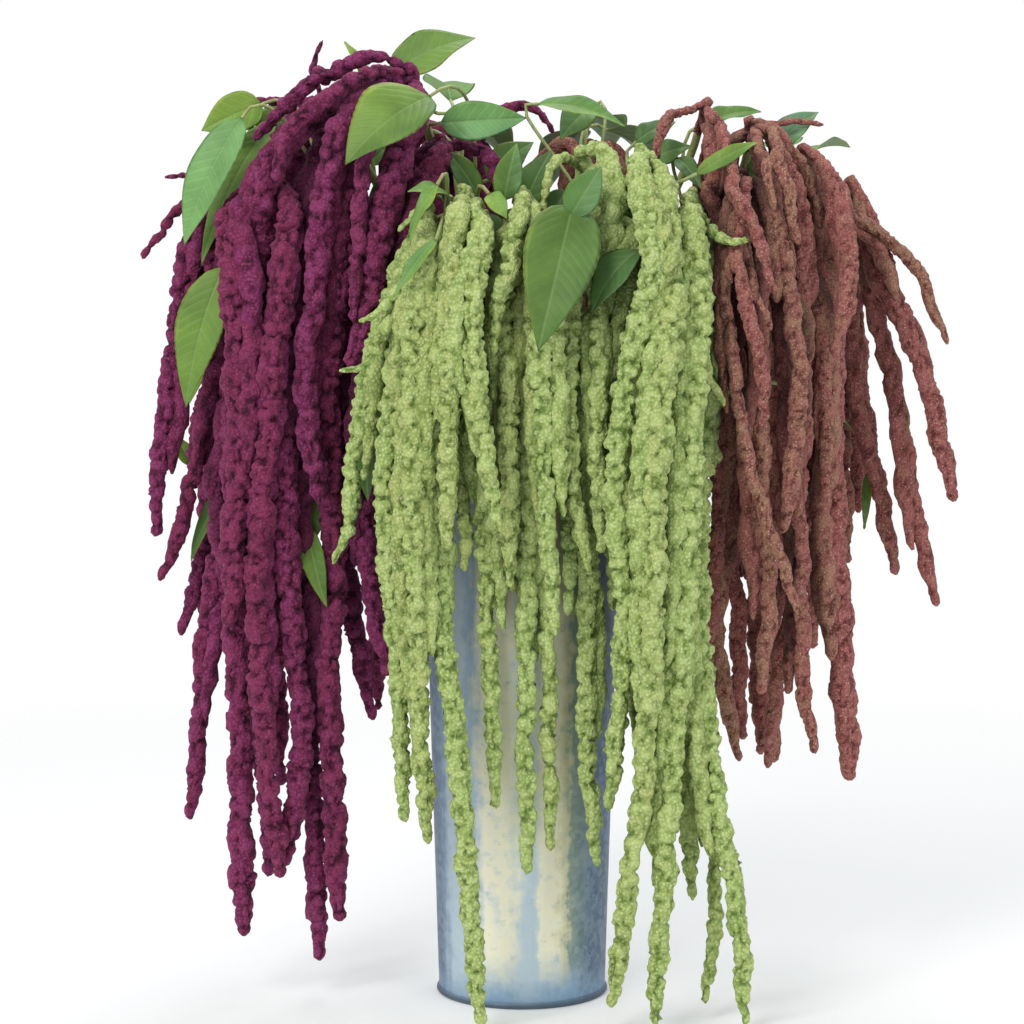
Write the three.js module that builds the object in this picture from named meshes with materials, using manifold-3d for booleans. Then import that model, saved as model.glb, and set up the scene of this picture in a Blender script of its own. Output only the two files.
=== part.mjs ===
import * as THREE from 'three';
import { mergeVertices } from 'three/addons/utils/BufferGeometryUtils.js';
import Module from 'manifold-3d';

const wasm = await Module();
wasm.setup();

// Bucket
const bucketHeight = 500;
const baseRadius = 82.5;
const rimRadius = 97.5;
const wall = 0.9;
const floorThick = 2;
const footBeadRadius = 85;
const footBeadHeight = 6;
const rimBeadRadius = 101;
const rimBeadHeight = 9;
const bucketSides = 30;

// Water
const waterTop = 330;
const clearance = 0.35;

// Stems and leaves
const stemFoot = 3;
const stemRadius = 5.4;
const stemTopRadius = 4.2;
const stemSides = 5;
const footSpread = 0.72;
const stalkRadius = 1.8;
const leafThick = 1;
const smallLeaf = 48;
const stalkStep = 56;
const sharpTurn = 1.6;
const sharpStep = 14;
const stemStep = 46;

// Tassels
const clusterStep = 33;
const fullness = 1.1;
const backClusterStep = 50;
const tasselSides = 3;
const rachisRadius = 6.5;

// Loose packing of the hanging tassels
const beadStep = 10;
const slack = 0.9;
const rounds = 220;
const cell = 44;

// The eye that the front view is read from
const eye = new THREE.Vector3(-10, -2600, 660);
const tilt = THREE.MathUtils.degToRad(4.03);
const reach = 2643;

const colours = {
  magenta: 0x6b2f4a,
  green: 0xa6b974,
  rose: 0x7f544c,
  leaf: 0x5f8a45,
  zinc: 0xa9b8bf,
  water: 0xb9cfd2,
};

// Every head: where its stem leaves the bucket, where the stem ends, where the rachis ends, and its tassels.
// A tassel is a thickness and the points it hangs through: across, down and toward the viewer.
const heads = [
  { kind: 'magenta', mouth: [-45, -30], crown: [418, 100, 15], top: [407, 68, 30], tassels: [
    [10, [380, 58, 42], [345, 66, 48], [300, 92, 50], [256, 136, 48]],
    [9, [370, 76, 62], [336, 94, 76], [304, 116, 80], [283, 146, 78], [276, 176, 76]],
    [16, [360, 92, 36], [326, 116, 44], [296, 144, 50], [274, 180, 52], [258, 240, 50], [243, 330, 48],
      [234, 430, 46], [236, 560, 44], [239, 700, 44], [242, 820, 44], [243, 930, 44]],
    [14, [372, 90, 55], [340, 127, 72], [324, 180, 76], [316, 240, 78], [309, 320, 80], [307, 410, 78], [320, 500, 76]],
    [17, [420, 112, 50], [402, 163, 78], [386, 230, 88], [375, 290, 88], [356, 362, 88]],
    [8, [386, 118, 66], [362, 171, 92], [358, 235, 98], [354, 318, 98]],
  ] },
  { kind: 'magenta', mouth: [-55, 0], crown: [350, 138, -25], top: [332, 108, -12], tassels: [
    [11, [312, 100, -8], [286, 118, -14], [259, 168, -24], [249, 240, -16], [240, 320, 16], [229, 420, 12],
      [222, 520, 6], [208, 600, 0], [199, 700, 0], [191, 816, 0]],
    [15, [346, 150, 36], [340, 211, 58], [335, 262, 62], [327, 330, 60], [321, 420, 55], [317, 500, 50],
      [320, 600, 46], [326, 760, 42], [338, 915, 40]],
    [14, [322, 140, 24], [302, 200, 40], [291, 280, 56], [286, 360, 60], [288, 450, 60], [291, 530, 58],
      [298, 650, 55], [301, 760, 50], [285, 862, 50]],
    [12, [302, 122, -30], [281, 150, -54], [266, 250, -62], [260, 350, -62], [262, 450, -60], [258, 560, -56],
      [262, 700, -50], [269, 874, -44]],
    [6, [304, 101, -8], [278, 99, -8], [248, 99, -8]],
    [5, [318, 88, -4], [312, 66, -2], [322, 41, 0]],
  ] },
  { kind: 'magenta', mouth: [-80, -15], crown: [236, 212, -12], top: [214, 194, -6], tassels: [
    [11, [200, 208, 4], [187, 250, 8], [176, 330, 8], [163, 430, 8], [155, 532, 8]],
    [10, [214, 225, 14], [210, 275, 18], [214, 340, 16], [200, 420, 10], [188, 500, 10], [160, 578, 10]],
    [6, [196, 194, 0], [180, 206, -4], [163, 230, -5], [146, 257, -5]],
    [5, [202, 182, -10], [186, 174, -12], [166, 177, -12]],
    [7, [218, 225, -20], [212, 260, -26], [205, 290, -26], [200, 330, -26]],
    [10, [232, 230, -20], [229, 300, -26], [219, 400, -30], [208, 520, -30], [194, 590, -26], [182, 632, -26]],
  ] },
  { kind: 'magenta', mouth: [-70, -42], crown: [292, 196, 15], top: [270, 178, 30], tassels: [
    [16, [256, 205, 48], [257, 255, 70], [247, 330, 76], [239, 420, 76], [238, 510, 72], [231, 623, 68]],
    [14, [275, 205, 60], [280, 262, 82], [276, 340, 84], [270, 430, 82], [262, 520, 78], [256, 600, 75],
      [262, 700, 70], [272, 800, 68], [281, 872, 68]],
    [13, [290, 212, 40], [298, 280, 42], [301, 350, 42], [299, 450, 40], [303, 560, 36], [311, 670, 34],
      [316, 800, 30], [321, 955, 30]],
    [12, [250, 212, -30], [241, 290, -48], [233, 380, -54], [222, 470, -54], [213, 540, -50], [202, 655, -46]],
    [12, [284, 212, -16], [286, 300, -24], [283, 400, -20], [278, 500, -16], [275, 600, -16], [277, 700, -22], [281, 780, -20]],
  ] },
  { kind: 'magenta', mouth: [-14, 8], crown: [455, 160, -12], top: [442, 142, 12], tassels: [
    [12, [405, 180, 32], [382, 290, 36], [366, 400, 34], [362, 480, 32], [367, 570, 30], [388, 672, 28]],
    [12, [402, 172, 0], [371, 250, 0], [349, 350, 0], [342, 450, 0], [346, 560, 0], [358, 640, 0], [373, 716, 0]],
    [15, [440, 158, 48], [428, 182, 66], [414, 222, 72], [402, 280, 68], [390, 372, 60]],
    [11, [468, 146, 30], [490, 156, 40], [500, 182, 46], [497, 220, 46]],
    [7, [476, 126, -40], [505, 108, -60], [530, 109, -62], [552, 131, -56]],
  ] },
  { kind: 'magenta', mouth: [-60, 38], crown: [316, 186, -108], top: [298, 164, -122], fan: [152, 60, 5, 140] },
  { kind: 'magenta', mouth: [-26, 44], crown: [456, 164, -98], top: [454, 138, -124], fan: [100, 64, 6, 96] },

  { kind: 'green', mouth: [-46, -64], crown: [434, 230, 70], top: [427, 206, 96], tassels: [
    [6, [418, 210, 108], [408, 222, 112], [400, 230, 112]],
    [11, [413, 250, 112], [395, 300, 118], [376, 350, 118], [362, 410, 116], [352, 480, 112], [350, 520, 110], [336, 560, 110]],
    [12, [418, 255, 126], [404, 305, 136], [392, 360, 140], [387, 440, 140], [386, 530, 138], [394, 620, 132],
      [400, 720, 128], [405, 818, 126]],
    [13, [426, 262, 142], [415, 325, 152], [412, 400, 156], [414, 480, 156], [416, 570, 152], [420, 700, 146], [428, 840, 142]],
    [7, [404, 292, 136], [384, 340, 146], [367, 368, 148], [346, 371, 148]],
    [7, [410, 266, 132], [400, 292, 146], [386, 309, 150], [365, 323, 150]],
  ] },
  { kind: 'green', mouth: [-20, -72], crown: [472, 214, 58], top: [467, 192, 84], tassels: [
    [12, [450, 222, 122], [443, 300, 142], [436, 380, 146], [434, 460, 146], [430, 543, 146]],
    [12, [458, 230, 136], [452, 300, 162], [451, 380, 168], [449, 460, 168], [446, 546, 168]],
    [12, [474, 225, 142], [468, 285, 168], [469, 345, 176], [479, 420, 178], [490, 480, 178], [498, 527, 176]],
    [14, [462, 240, 108], [448, 330, 112], [436, 440, 116], [437, 540, 122], [442, 620, 132], [452, 720, 150],
      [462, 820, 160], [469, 900, 165], [481, 1020, 168]],
    [11, [480, 228, 108], [479, 320, 113], [481, 420, 116], [484, 520, 118], [488, 640, 118], [496, 805, 122]],
    [11, [463, 226, 80], [463, 320, 92], [463, 420, 106], [464, 500, 116], [465, 566, 118]],
  ] },
  { kind: 'green', mouth: [2, -46], crown: [530, 212, 52], top: [524, 190, 84], tassels: [
    [10, [517, 212, 132], [507, 262, 154], [497, 310, 158], [492, 352, 158]],
    [12, [514, 225, 118], [506, 300, 132], [508, 380, 138], [510, 470, 140], [510, 582, 140]],
    [12, [534, 232, 108], [531, 330, 113], [528, 430, 116], [527, 540, 118], [526, 700, 120], [527, 869, 124]],
    [12, [530, 226, 132], [538, 300, 150], [540, 380, 156], [542, 450, 158], [547, 530, 158], [556, 631, 158]],
    [10, [524, 226, 80], [519, 310, 92], [520, 400, 106], [521, 500, 116], [522, 590, 118]],
    [10, [542, 218, 92], [551, 300, 110], [553, 400, 113], [551, 500, 114], [549, 600, 116], [549, 720, 118], [551, 848, 118]],
  ] },
  { kind: 'green', mouth: [12, -20], crown: [588, 186, 36], top: [580, 152, 66], tassels: [
    [12, [600, 152, 96], [605, 195, 112], [606, 250, 114], [601, 330, 114], [593, 430, 114], [590, 560, 114],
      [586, 700, 114], [590, 800, 114], [596, 863, 114]],
    [12, [602, 196, 64], [590, 250, 92], [569, 320, 124], [566, 400, 136], [571, 470, 140], [578, 520, 140], [587, 566, 140]],
    [11, [602, 190, 70], [604, 240, 94], [603, 310, 126], [602, 400, 140], [599, 480, 142], [603, 549, 142]],
    [11, [578, 200, 40], [563, 290, 56], [559, 400, 92], [561, 500, 114], [562, 612, 116]],
    [6, [562, 158, 94], [550, 168, 106], [544, 190, 110], [540, 214, 110]],
  ] },
  { kind: 'green', mouth: [27, -73], crown: [648, 172, 28], top: [642, 148, 60], tassels: [
    [13, [638, 178, 108], [636, 240, 140], [631, 300, 150], [621, 370, 155], [615, 450, 158], [616, 540, 158],
      [624, 620, 156], [618, 720, 152], [609, 806, 150]],
    [14, [656, 180, 100], [664, 235, 132], [668, 300, 152], [664, 380, 166], [656, 460, 172], [653, 560, 174],
      [650, 680, 172], [643, 780, 170], [630, 880, 168], [612, 1003, 165]],
    [11, [634, 186, 36], [618, 280, 40], [611, 400, 74], [608, 500, 112], [607, 606, 114]],
    [12, [650, 186, 78], [650, 260, 102], [647, 340, 113], [640, 440, 118], [636, 540, 122], [640, 640, 125], [638, 748, 128]],
  ] },
  { kind: 'green', mouth: [52, -60], crown: [698, 214, 28], top: [692, 192, 58], tassels: [
    [14, [684, 215, 98], [685, 262, 130], [690, 330, 146], [690, 420, 150], [687, 520, 152], [684, 610, 152],
      [676, 710, 155], [670, 800, 160], [664, 890, 165], [655, 1020, 168]],
    [9, [706, 232, 80], [712, 280, 94], [714, 330, 98], [718, 360, 98], [727, 394, 98]],
    [9, [696, 232, 92], [700, 300, 112], [702, 350, 120], [708, 380, 122], [722, 403, 122]],
    [13, [700, 242, 58], [705, 320, 66], [702, 420, 84], [698, 520, 102], [700, 620, 120], [707, 720, 130],
      [720, 820, 140], [736, 900, 150], [745, 1020, 155]],
    [7, [712, 222, 84], [727, 238, 108], [738, 244, 120], [752, 243, 122]],
    [12, [690, 236, 70], [681, 320, 92], [676, 420, 102], [674, 520, 106], [678, 640, 110], [686, 760, 116], [692, 895, 118]],
    [10, [699, 232, 46], [698, 330, 48], [691, 450, 62], [691, 560, 78], [700, 700, 95], [712, 820, 110],
      [716, 900, 120], [706, 1001, 125]],
  ] },

  { kind: 'rose', mouth: [30, -5], crown: [698, 132, -25], top: [703, 112, -10], tassels: [
    [9, [690, 110, 8], [673, 116, 22], [661, 136, 34], [657, 158, 40]],
    [8, [716, 122, 34], [724, 158, 70], [736, 198, 108], [756, 243, 116], [771, 292, 118]],
    [11, [712, 116, 14], [717, 150, 34], [721, 195, 64], [722, 245, 74], [726, 295, 76], [737, 346, 80]],
    [12, [704, 158, -38], [704, 230, -44], [712, 320, -42], [724, 420, -42], [732, 520, -40], [737, 620, -38],
      [743, 735, -36]],
    [10, [712, 145, 20], [714, 210, 28], [723, 290, 34], [735, 370, 34], [745, 450, 32], [758, 530, 30], [775, 600, 28]],
  ] },
  { kind: 'rose', mouth: [42, -30], crown: [748, 150, -35], top: [752, 128, -18], tassels: [
    [6, [772, 123, -10], [795, 119, -10], [821, 123, -10]],
    [9, [768, 124, 8], [796, 158, 24], [812, 188, 32], [820, 224, 34]],
    [8, [772, 138, 40], [782, 170, 74], [789, 205, 90], [797, 243, 92]],
    [8, [756, 140, 34], [762, 166, 62], [768, 192, 78], [771, 214, 84]],
    [11, [768, 134, 18], [785, 174, 36], [798, 215, 48], [803, 270, 54], [800, 340, 58], [803, 430, 56],
      [796, 520, 50], [793, 610, 45], [790, 690, 45]],
    [12, [728, 142, -24], [720, 190, -34], [734, 280, -44], [748, 360, -46], [752, 450, -46], [755, 560, -48], [757, 660, -50],
      [762, 752, -50]],
    [10, [752, 142, 16], [760, 188, 36], [768, 240, 52], [775, 300, 60], [782, 370, 64], [789, 440, 62],
      [797, 510, 60], [801, 590, 55], [800, 660, 50], [812, 748, 50]],
    [11, [736, 142, 6], [729, 190, 8], [728, 260, 0], [735, 340, -6], [728, 420, -8], [722, 500, -8],
      [716, 600, -10], [722, 680, -12], [738, 757, -14]],
  ] },
  { kind: 'rose', mouth: [62, -10], crown: [796, 175, -25], top: [802, 152, -6], tassels: [
    [12, [820, 165, 28], [838, 202, 50], [848, 260, 60], [846, 310, 60], [835, 352, 58]],
    [17, [815, 182, 8], [828, 240, 18], [832, 320, 20], [830, 400, 20], [832, 480, 20], [835, 560, 20],
      [842, 660, 20], [850, 775, 20]],
    [8, [812, 172, -22], [846, 210, -24], [880, 235, -24], [914, 270, -22], [932, 305, -20], [945, 343, -20]],
    [10, [801, 178, -6], [808, 240, -14], [812, 320, -18], [812, 420, -20], [805, 520, -20], [790, 610, -20],
      [776, 690, -20], [768, 766, -20]],
  ] },
  { kind: 'rose', mouth: [80, 12], crown: [836, 206, -68], top: [846, 188, -54], tassels: [
    [13, [864, 205, -44], [881, 250, -36], [897, 300, -32], [920, 360, -30], [936, 420, -30], [955, 498, -30]],
    [11, [857, 216, -62], [869, 280, -66], [886, 350, -70], [903, 430, -72], [912, 500, -72], [936, 604, -72]],
    [11, [846, 220, -78], [855, 300, -88], [859, 380, -92], [868, 440, -92], [880, 510, -92], [893, 569, -92]],
    [11, [838, 216, -96], [834, 300, -108], [836, 400, -112], [842, 480, -112], [846, 560, -112]],
  ] },
  { kind: 'rose', mouth: [66, -38], crown: [746, 196, -6], top: [742, 176, 18], tassels: [
    [7, [740, 206, 80], [743, 250, 98], [753, 290, 116], [769, 326, 126]],
    [10, [732, 198, 46], [734, 260, 54], [731, 330, 52], [722, 420, 42], [716, 520, 38], [711, 600, 36], [707, 662, 36]],
    [8, [729, 206, 76], [722, 270, 96], [729, 340, 108], [738, 410, 110], [752, 475, 112], [771, 532, 112],
      [786, 576, 110], [798, 614, 108]],
    [11, [745, 200, 70], [752, 262, 84], [760, 340, 90], [759, 420, 88], [762, 500, 84], [769, 580, 80], [762, 690, 76]],
    [9, [741, 208, 84], [741, 270, 110], [750, 320, 120], [762, 360, 122], [767, 418, 122]],
    [11, [758, 190, 66], [777, 232, 84], [790, 300, 90], [799, 380, 90], [794, 450, 88], [783, 530, 84]],
    [9, [750, 190, 40], [800, 250, 30], [822, 330, 42], [829, 420, 48], [826, 500, 48]],
  ] },
  { kind: 'rose', mouth: [55, 42], crown: [764, 214, -114], top: [780, 190, -128], fan: [30, 58, 5, 84] },
  { kind: 'rose', mouth: [20, 46], crown: [584, 182, -100], top: [590, 154, -124], fan: [80, 64, 6, 80] },
];

// Leaves: head, base, tip, width, turn about the midrib in degrees.
const leaves = [
  [0, [390, 76, -20], [476, 38, -30], 54, -10],
  [4, [430, 96, 78], [345, 165, 112], 74, 10],
  [0, [372, 86, -8], [344, 41, -6], 12, 0],
  [0, [441, 123, 50], [527, 118, 46], 38, 34],
  [3, [262, 104, 0], [201, 131, 12], 42, -20],
  [3, [242, 118, 44], [184, 246, 46], 44, 6],
  [3, [276, 118, -26], [201, 266, 30], 34, 12],
  [1, [308, 112, -48], [243, 140, -42], 42, -20],
  [2, [235, 262, -78], [185, 412, -75], 56, 8],
  [4, [362, 214, -60], [352, 398, -60], 44, -10],
  [10, [573, 204, 126], [538, 352, 186], 70, -6],
  [10, [571, 216, 134], [602, 166, 134], 34, 10],
  [11, [638, 250, 136], [592, 314, 142], 46, 30],
  [9, [504, 200, 104], [517, 143, 108], 28, 0],
  [7, [450, 196, 98], [407, 192, 124], 24, 24],
  [8, [489, 194, 116], [507, 219, 134], 20, 0],
  [7, [436, 240, 156], [394, 297, 178], 13, 0],
  [10, [538, 104, -10], [627, 128, 6], 28, -20],
  [13, [702, 124, -46], [762, 112, -44], 22, -10],
  [13, [697, 174, 88], [758, 142, 76], 17, 10],
  [15, [772, 152, -30], [819, 112, -28], 36, -12],
  [11, [636, 142, -30], [676, 122, -40], 26, -10],
  [2, [194, 466, -48], [171, 434, -50], 18, 0],
  [3, [308, 528, 36], [327, 608, 56], 24, 16],
  [2, [228, 486, -14], [191, 562, -12], 18, 10],
  [9, [502, 214, 4], [480, 300, 6], 46, 10],
  [9, [522, 226, 40], [514, 316, 60], 40, -14],
  [12, [677, 158, 10], [702, 190, 40], 20, 0],
  [16, [867, 474, -104], [864, 530, -106], 10, 0],
  [4, [376, 396, 70], [368, 502, 74], 34, 20],
  [10, [590, 108, -60], [560, 140, -40], 34, 0],
  [7, [437, 185, 138], [410, 243, 156], 15, 20],
  [1, [364, 226, -20], [374, 330, -26], 42, 0],
  [8, [488, 214, 60], [502, 276, 70], 28, -10],
];

function random(seed) {
  let a = seed >>> 0;
  return () => {
    a = (a + 0x6d2b79f5) >>> 0;
    let t = Math.imul(a ^ (a >>> 15), a | 1);
    t = (t + Math.imul(t ^ (t >>> 7), t | 61)) ^ t;
    return ((t ^ (t >>> 14)) >>> 0) / 4294967296;
  };
}

// A point of the front view as a place in the frame.
function seen([across, down, near]) {
  const away = -near - eye.y;
  const rise = away * Math.tan(Math.atan((512 - down) / reach) - tilt);
  const depth = away * Math.cos(tilt) - rise * Math.sin(tilt);
  return new THREE.Vector3(eye.x + ((across - 512) / reach) * depth, -near, eye.z + rise);
}

function spaced(points, step) {
  const curve = new THREE.CatmullRomCurve3(points, false, 'centripetal');
  return curve.getSpacedPoints(Math.max(2, Math.round(curve.getLength() / step)));
}

// Thin at the root, full below it, slimmer further down and drawn in over the last stretch.
function tasselRadius(full, along, length) {
  const root = THREE.MathUtils.smoothstep(along * length, -20, 80);
  const slim = 1 - 0.28 * along * along;
  const tip = 0.32 + 0.68 * THREE.MathUtils.smoothstep((1 - along) * length, -12, 62);
  return fullness * full * (0.34 + 0.66 * root) * slim * tip;
}

const beads = [];
const chains = [];

function addChain(node, kind, points, radii, isFixed) {
  const chain = { node, kind, first: beads.length, count: points.length };
  points.forEach((p, i) => beads.push({
    home: p, at: p.clone(), shift: new THREE.Vector3(), radius: radii[i],
    chain: chains.length, order: i, node, kind, fixed: isFixed(i, p),
  }));
  chains.push(chain);
  return chain;
}

// Rachis, tassels and stem of every head as strings of beads.
heads.forEach((head, index) => {
  head.index = index;
  head.end = seen(head.crown);
  const lean = seen(head.top).sub(head.end);
  head.lean = lean.clone().normalize();
  head.tipEnd = head.end.clone().addScaledVector(head.lean, Math.max(36, lean.length()));
  const rachis = spaced([head.end.clone().addScaledVector(head.lean, clearance), head.tipEnd], 9);
  head.rachis = addChain(2 * index + 1, 'rachis', rachis, rachis.map(() => rachisRadius), () => true);

  let paths = [];
  if (head.fan) {
    const draw = random(71 + index);
    const [heading, spread, count] = head.fan;
    for (let i = 0; i < count; i++) {
      const angle = THREE.MathUtils.degToRad(heading + spread * ((2 * i) / (count - 1) - 1) + 8 * draw());
      const away = 38 + 34 * (i % 2) + 16 * draw();
      const tipHeight = 170 + 330 * draw();
      const out = new THREE.Vector3(Math.cos(angle), Math.sin(angle), 0);
      const from = head.tipEnd;
      const lift = (share, drop) => from.clone().addScaledVector(out, away * share).setZ(from.z - drop);
      const low = lift(1.12, from.z - tipHeight);
      paths.push([11 + 3 * draw(), lift(0.35, -10), lift(0.85, 28), lift(1, 110), lift(1.05, 0.5 * (from.z - tipHeight)), low]);
    }
  } else {
    paths = head.tassels.map(([thick, ...way]) => [thick, ...way.map(seen)]);
  }
  head.hung = paths.map(([thick, ...way], i) => {
    const share = paths.length < 2 ? 1 : 1 - 0.5 * (i / (paths.length - 1));
    const root = head.end.clone().lerp(head.tipEnd, share);
    const points = spaced([root, ...way], beadStep);
    const length = (points.length - 1) * beadStep;
    const radii = points.map((p, k) => tasselRadius(thick, k / (points.length - 1), length));
    return addChain(2 * index + 1, 'tassel', points, radii, (k) => k < 2);
  });

  const mouth = new THREE.Vector3(head.mouth[0], head.mouth[1], bucketHeight);
  const foot = new THREE.Vector3(head.mouth[0] * footSpread, head.mouth[1] * footSpread, stemFoot);
  const up = mouth.clone().sub(foot).normalize();
  const gap = mouth.distanceTo(head.end);
  const rise = new THREE.CubicBezierCurve3(
    mouth, mouth.clone().addScaledVector(up, 0.42 * gap),
    head.end.clone().addScaledVector(head.lean, -0.36 * gap), head.end,
  );
  const free = rise.getSpacedPoints(Math.round(gap / 12)).slice(1);
  const straight = spaced([foot, mouth], 12);
  const path = [...straight, ...free];
  const radii = path.map((p, k) => THREE.MathUtils.lerp(stemRadius, stemTopRadius, k / (path.length - 1)));
  const steps = Math.round(gap / stemStep);
  head.rings = [0];
  for (let i = 0; i <= steps; i++) {
    head.rings.push(straight.length - 1 + Math.round(((path.length - straight.length) * i) / steps));
  }
  head.stem = addChain(2 * index, 'stem', path, radii, (k) => k < straight.length || k > path.length - 3);
});

// A leaf blade: places across the midrib, arched lengthwise, folded and waved.
const ovate = [[0, 0], [0.12, 0.62], [0.36, 1], [0.64, 0.8], [0.86, 0.4], [1, 0]];

function leafWidth(s) {
  for (let i = 1; i < ovate.length; i++) {
    if (s <= ovate[i][0]) {
      const t = (s - ovate[i - 1][0]) / (ovate[i][0] - ovate[i - 1][0]);
      return THREE.MathUtils.lerp(ovate[i - 1][1], ovate[i][1], t);
    }
  }
  return 0;
}

function bladePoint(leaf, s, t) {
  const half = 0.5 * leaf.width * leafWidth(s);
  const raise = 0.1 * leaf.length * 4 * s * (1 - s) + leaf.fold * half * Math.abs(t)
    + leaf.wave * Math.sin(leaf.phase + 9 * s + (t > 0 ? 0 : 2)) * Math.abs(t) * leafWidth(s);
  return leaf.base.clone().addScaledVector(leaf.along, leaf.length * s)
    .addScaledVector(leaf.side, half * t).addScaledVector(leaf.face, raise);
}

function makeLeaf(head, base, tip, width, turn, facing, draw) {
  const along = tip.clone().sub(base);
  const length = along.length();
  along.normalize();
  const side = along.clone().cross(facing).normalize().applyAxisAngle(along, THREE.MathUtils.degToRad(turn));
  const face = side.clone().cross(along).normalize();
  return {
    head, base, length, width, along, side, face,
    fold: 0.12 + 0.16 * draw(), wave: 1.2 + 1.8 * draw(), phase: 6.28 * draw(),
  };
}

const leafDraw = random(9);
const blades = leaves.map(([head, base, tip, width, turn]) =>
  makeLeaf(head, seen(base), seen(tip), width, turn, new THREE.Vector3(0, -0.85, 0.52), leafDraw));
heads.forEach((head, index) => {
  if (!head.fan) return;
  for (let i = 0; i < 3; i++) {
    const angle = THREE.MathUtils.degToRad(head.fan[3] - 47 + 40 * i + 14 * leafDraw());
    const out = new THREE.Vector3(Math.cos(angle), Math.sin(angle), 0);
    const base = head.tipEnd.clone().addScaledVector(out, 22).setZ(head.tipEnd.z + 26 + 14 * (i % 2));
    const tip = base.clone().addScaledVector(out, 70 + 24 * leafDraw()).setZ(base.z + 24 - 84 * leafDraw());
    blades.push(makeLeaf(index, base, tip, 38 + 18 * leafDraw(), 20 * leafDraw() - 10, new THREE.Vector3(0, 0, 1), leafDraw));
  }
});

// Leaf stalks, and the places on each blade that the tassels keep clear of.
blades.forEach((leaf) => {
  const node = 2 * leaf.head;
  const { stem, rings } = heads[leaf.head];
  let k = rings.length - 2;
  while (k > 2 && beads[stem.first + rings[k]].home.z > leaf.base.z + 4) k -= 1;
  const joint = beads[stem.first + rings[k]];
  const from = joint.home;
  const span = from.distanceTo(leaf.base);
  const stalk = new THREE.CubicBezierCurve3(
    from, from.clone().add(new THREE.Vector3(0, 0, 0.35 * span)),
    leaf.base.clone().addScaledVector(leaf.along, -0.4 * span), leaf.base,
  );
  const path = stalk.getSpacedPoints(Math.max(2, Math.round(span / 8)));
  leaf.stalk = addChain(node, 'stalk', path, path.map(() => stalkRadius + 0.4), (i) => i === 0 || i === path.length - 1);
  beads[leaf.stalk.first].follow = joint;
  const rows = Math.max(3, Math.round(leaf.length / 8));
  for (let i = 1; i < rows; i++) {
    const s = i / rows;
    const half = 0.5 * leaf.width * leafWidth(s);
    const columns = Math.max(1, Math.round(half / 8));
    for (let j = -columns; j <= columns; j++) {
      const p = bladePoint(leaf, s, j / columns);
      beads.push({
        home: p, at: p.clone(), shift: new THREE.Vector3(), radius: 2.4,
        chain: -1, order: 0, node, kind: 'blade', fixed: true,
      });
    }
  }
});

function bucketRadius(z) {
  return THREE.MathUtils.lerp(baseRadius, rimRadius, z / bucketHeight);
}

function closePairs() {
  const grid = new Map();
  beads.forEach((bead, i) => {
    const key = `${Math.floor(bead.at.x / cell)},${Math.floor(bead.at.y / cell)},${Math.floor(bead.at.z / cell)}`;
    if (!grid.has(key)) grid.set(key, []);
    grid.get(key).push(i);
  });
  const pairs = [];
  grid.forEach((list, key) => {
    const [x, y, z] = key.split(',').map(Number);
    for (let dx = -1; dx <= 1; dx++) for (let dy = -1; dy <= 1; dy++) for (let dz = -1; dz <= 1; dz++) {
      const others = grid.get(`${x + dx},${y + dy},${z + dz}`);
      if (!others) continue;
      for (const i of list) for (const j of others) {
        if (j <= i) continue;
        const a = beads[i];
        const b = beads[j];
        if (a.fixed && b.fixed) continue;
        if (a.chain === b.chain) continue;
        let share = 1;
        if (a.node === b.node) {
          if (a.node % 2 === 0) continue;
          if (a.order < 5 || b.order < 5) continue;
          share = 0.88;
        }
        const need = (a.radius + b.radius + slack) * share;
        if (a.at.distanceToSquared(b.at) < (need + 8) * (need + 8)) pairs.push([i, j, need]);
      }
    }
  });
  return pairs;
}

function loosen() {
  const push = beads.map(() => new THREE.Vector3());
  const count = new Int32Array(beads.length);
  let pairs = [];
  const gap = new THREE.Vector3();
  for (let round = 0; round < rounds; round++) {
    if (round % 8 === 0) pairs = closePairs();
    push.forEach((p) => p.set(0, 0, 0));
    count.fill(0);
    for (const [i, j, need] of pairs) {
      const a = beads[i];
      const b = beads[j];
      gap.subVectors(a.at, b.at);
      const far = gap.length();
      if (far >= need || far === 0) continue;
      gap.multiplyScalar((need - far) / far);
      if (a.fixed) {
        push[j].sub(gap);
      } else if (b.fixed) {
        push[i].add(gap);
      } else {
        push[i].addScaledVector(gap, 0.5);
        push[j].addScaledVector(gap, -0.5);
      }
      count[i] += 1;
      count[j] += 1;
    }
    const keep = 0.5 * (1 - round / rounds) + 0.02;
    beads.forEach((bead, i) => {
      if (!bead.fixed && count[i]) bead.shift.addScaledVector(push[i], 1 / (1 + 0.4 * (count[i] - 1)));
    });
    for (let pass = 0; pass < 2; pass++) {
      for (const chain of chains) {
        const old = [];
        for (let k = 0; k < chain.count; k++) old.push(beads[chain.first + k].shift.clone());
        for (let k = 1; k < chain.count; k++) {
          const bead = beads[chain.first + k];
          if (bead.fixed) continue;
          const next = old[Math.min(k + 1, chain.count - 1)];
          const mean = old[k - 1].clone().add(next).multiplyScalar(0.5);
          bead.shift.lerp(mean, keep);
        }
      }
    }
    for (const bead of beads) {
      if (bead.follow) {
        bead.shift.copy(bead.follow.shift);
        bead.at.copy(bead.follow.at);
      }
      if (bead.fixed) continue;
      bead.at.addVectors(bead.home, bead.shift);
      const clear = bead.radius + slack;
      const low = bead.at.z;
      if (bead.kind !== 'stem' && low < bucketHeight + 6) {
        const wide = Math.hypot(bead.at.x, bead.at.y);
        const limit = (low > bucketHeight - 12 || low < 8 ? rimBeadRadius : bucketRadius(low)) + clear;
        if (wide < limit) {
          bead.at.x *= limit / wide;
          bead.at.y *= limit / wide;
        }
      }
      bead.at.z = Math.max(bead.at.z, bead.radius + 1.5);
      bead.shift.subVectors(bead.at, bead.home);
    }
  }
}

loosen();

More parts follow.
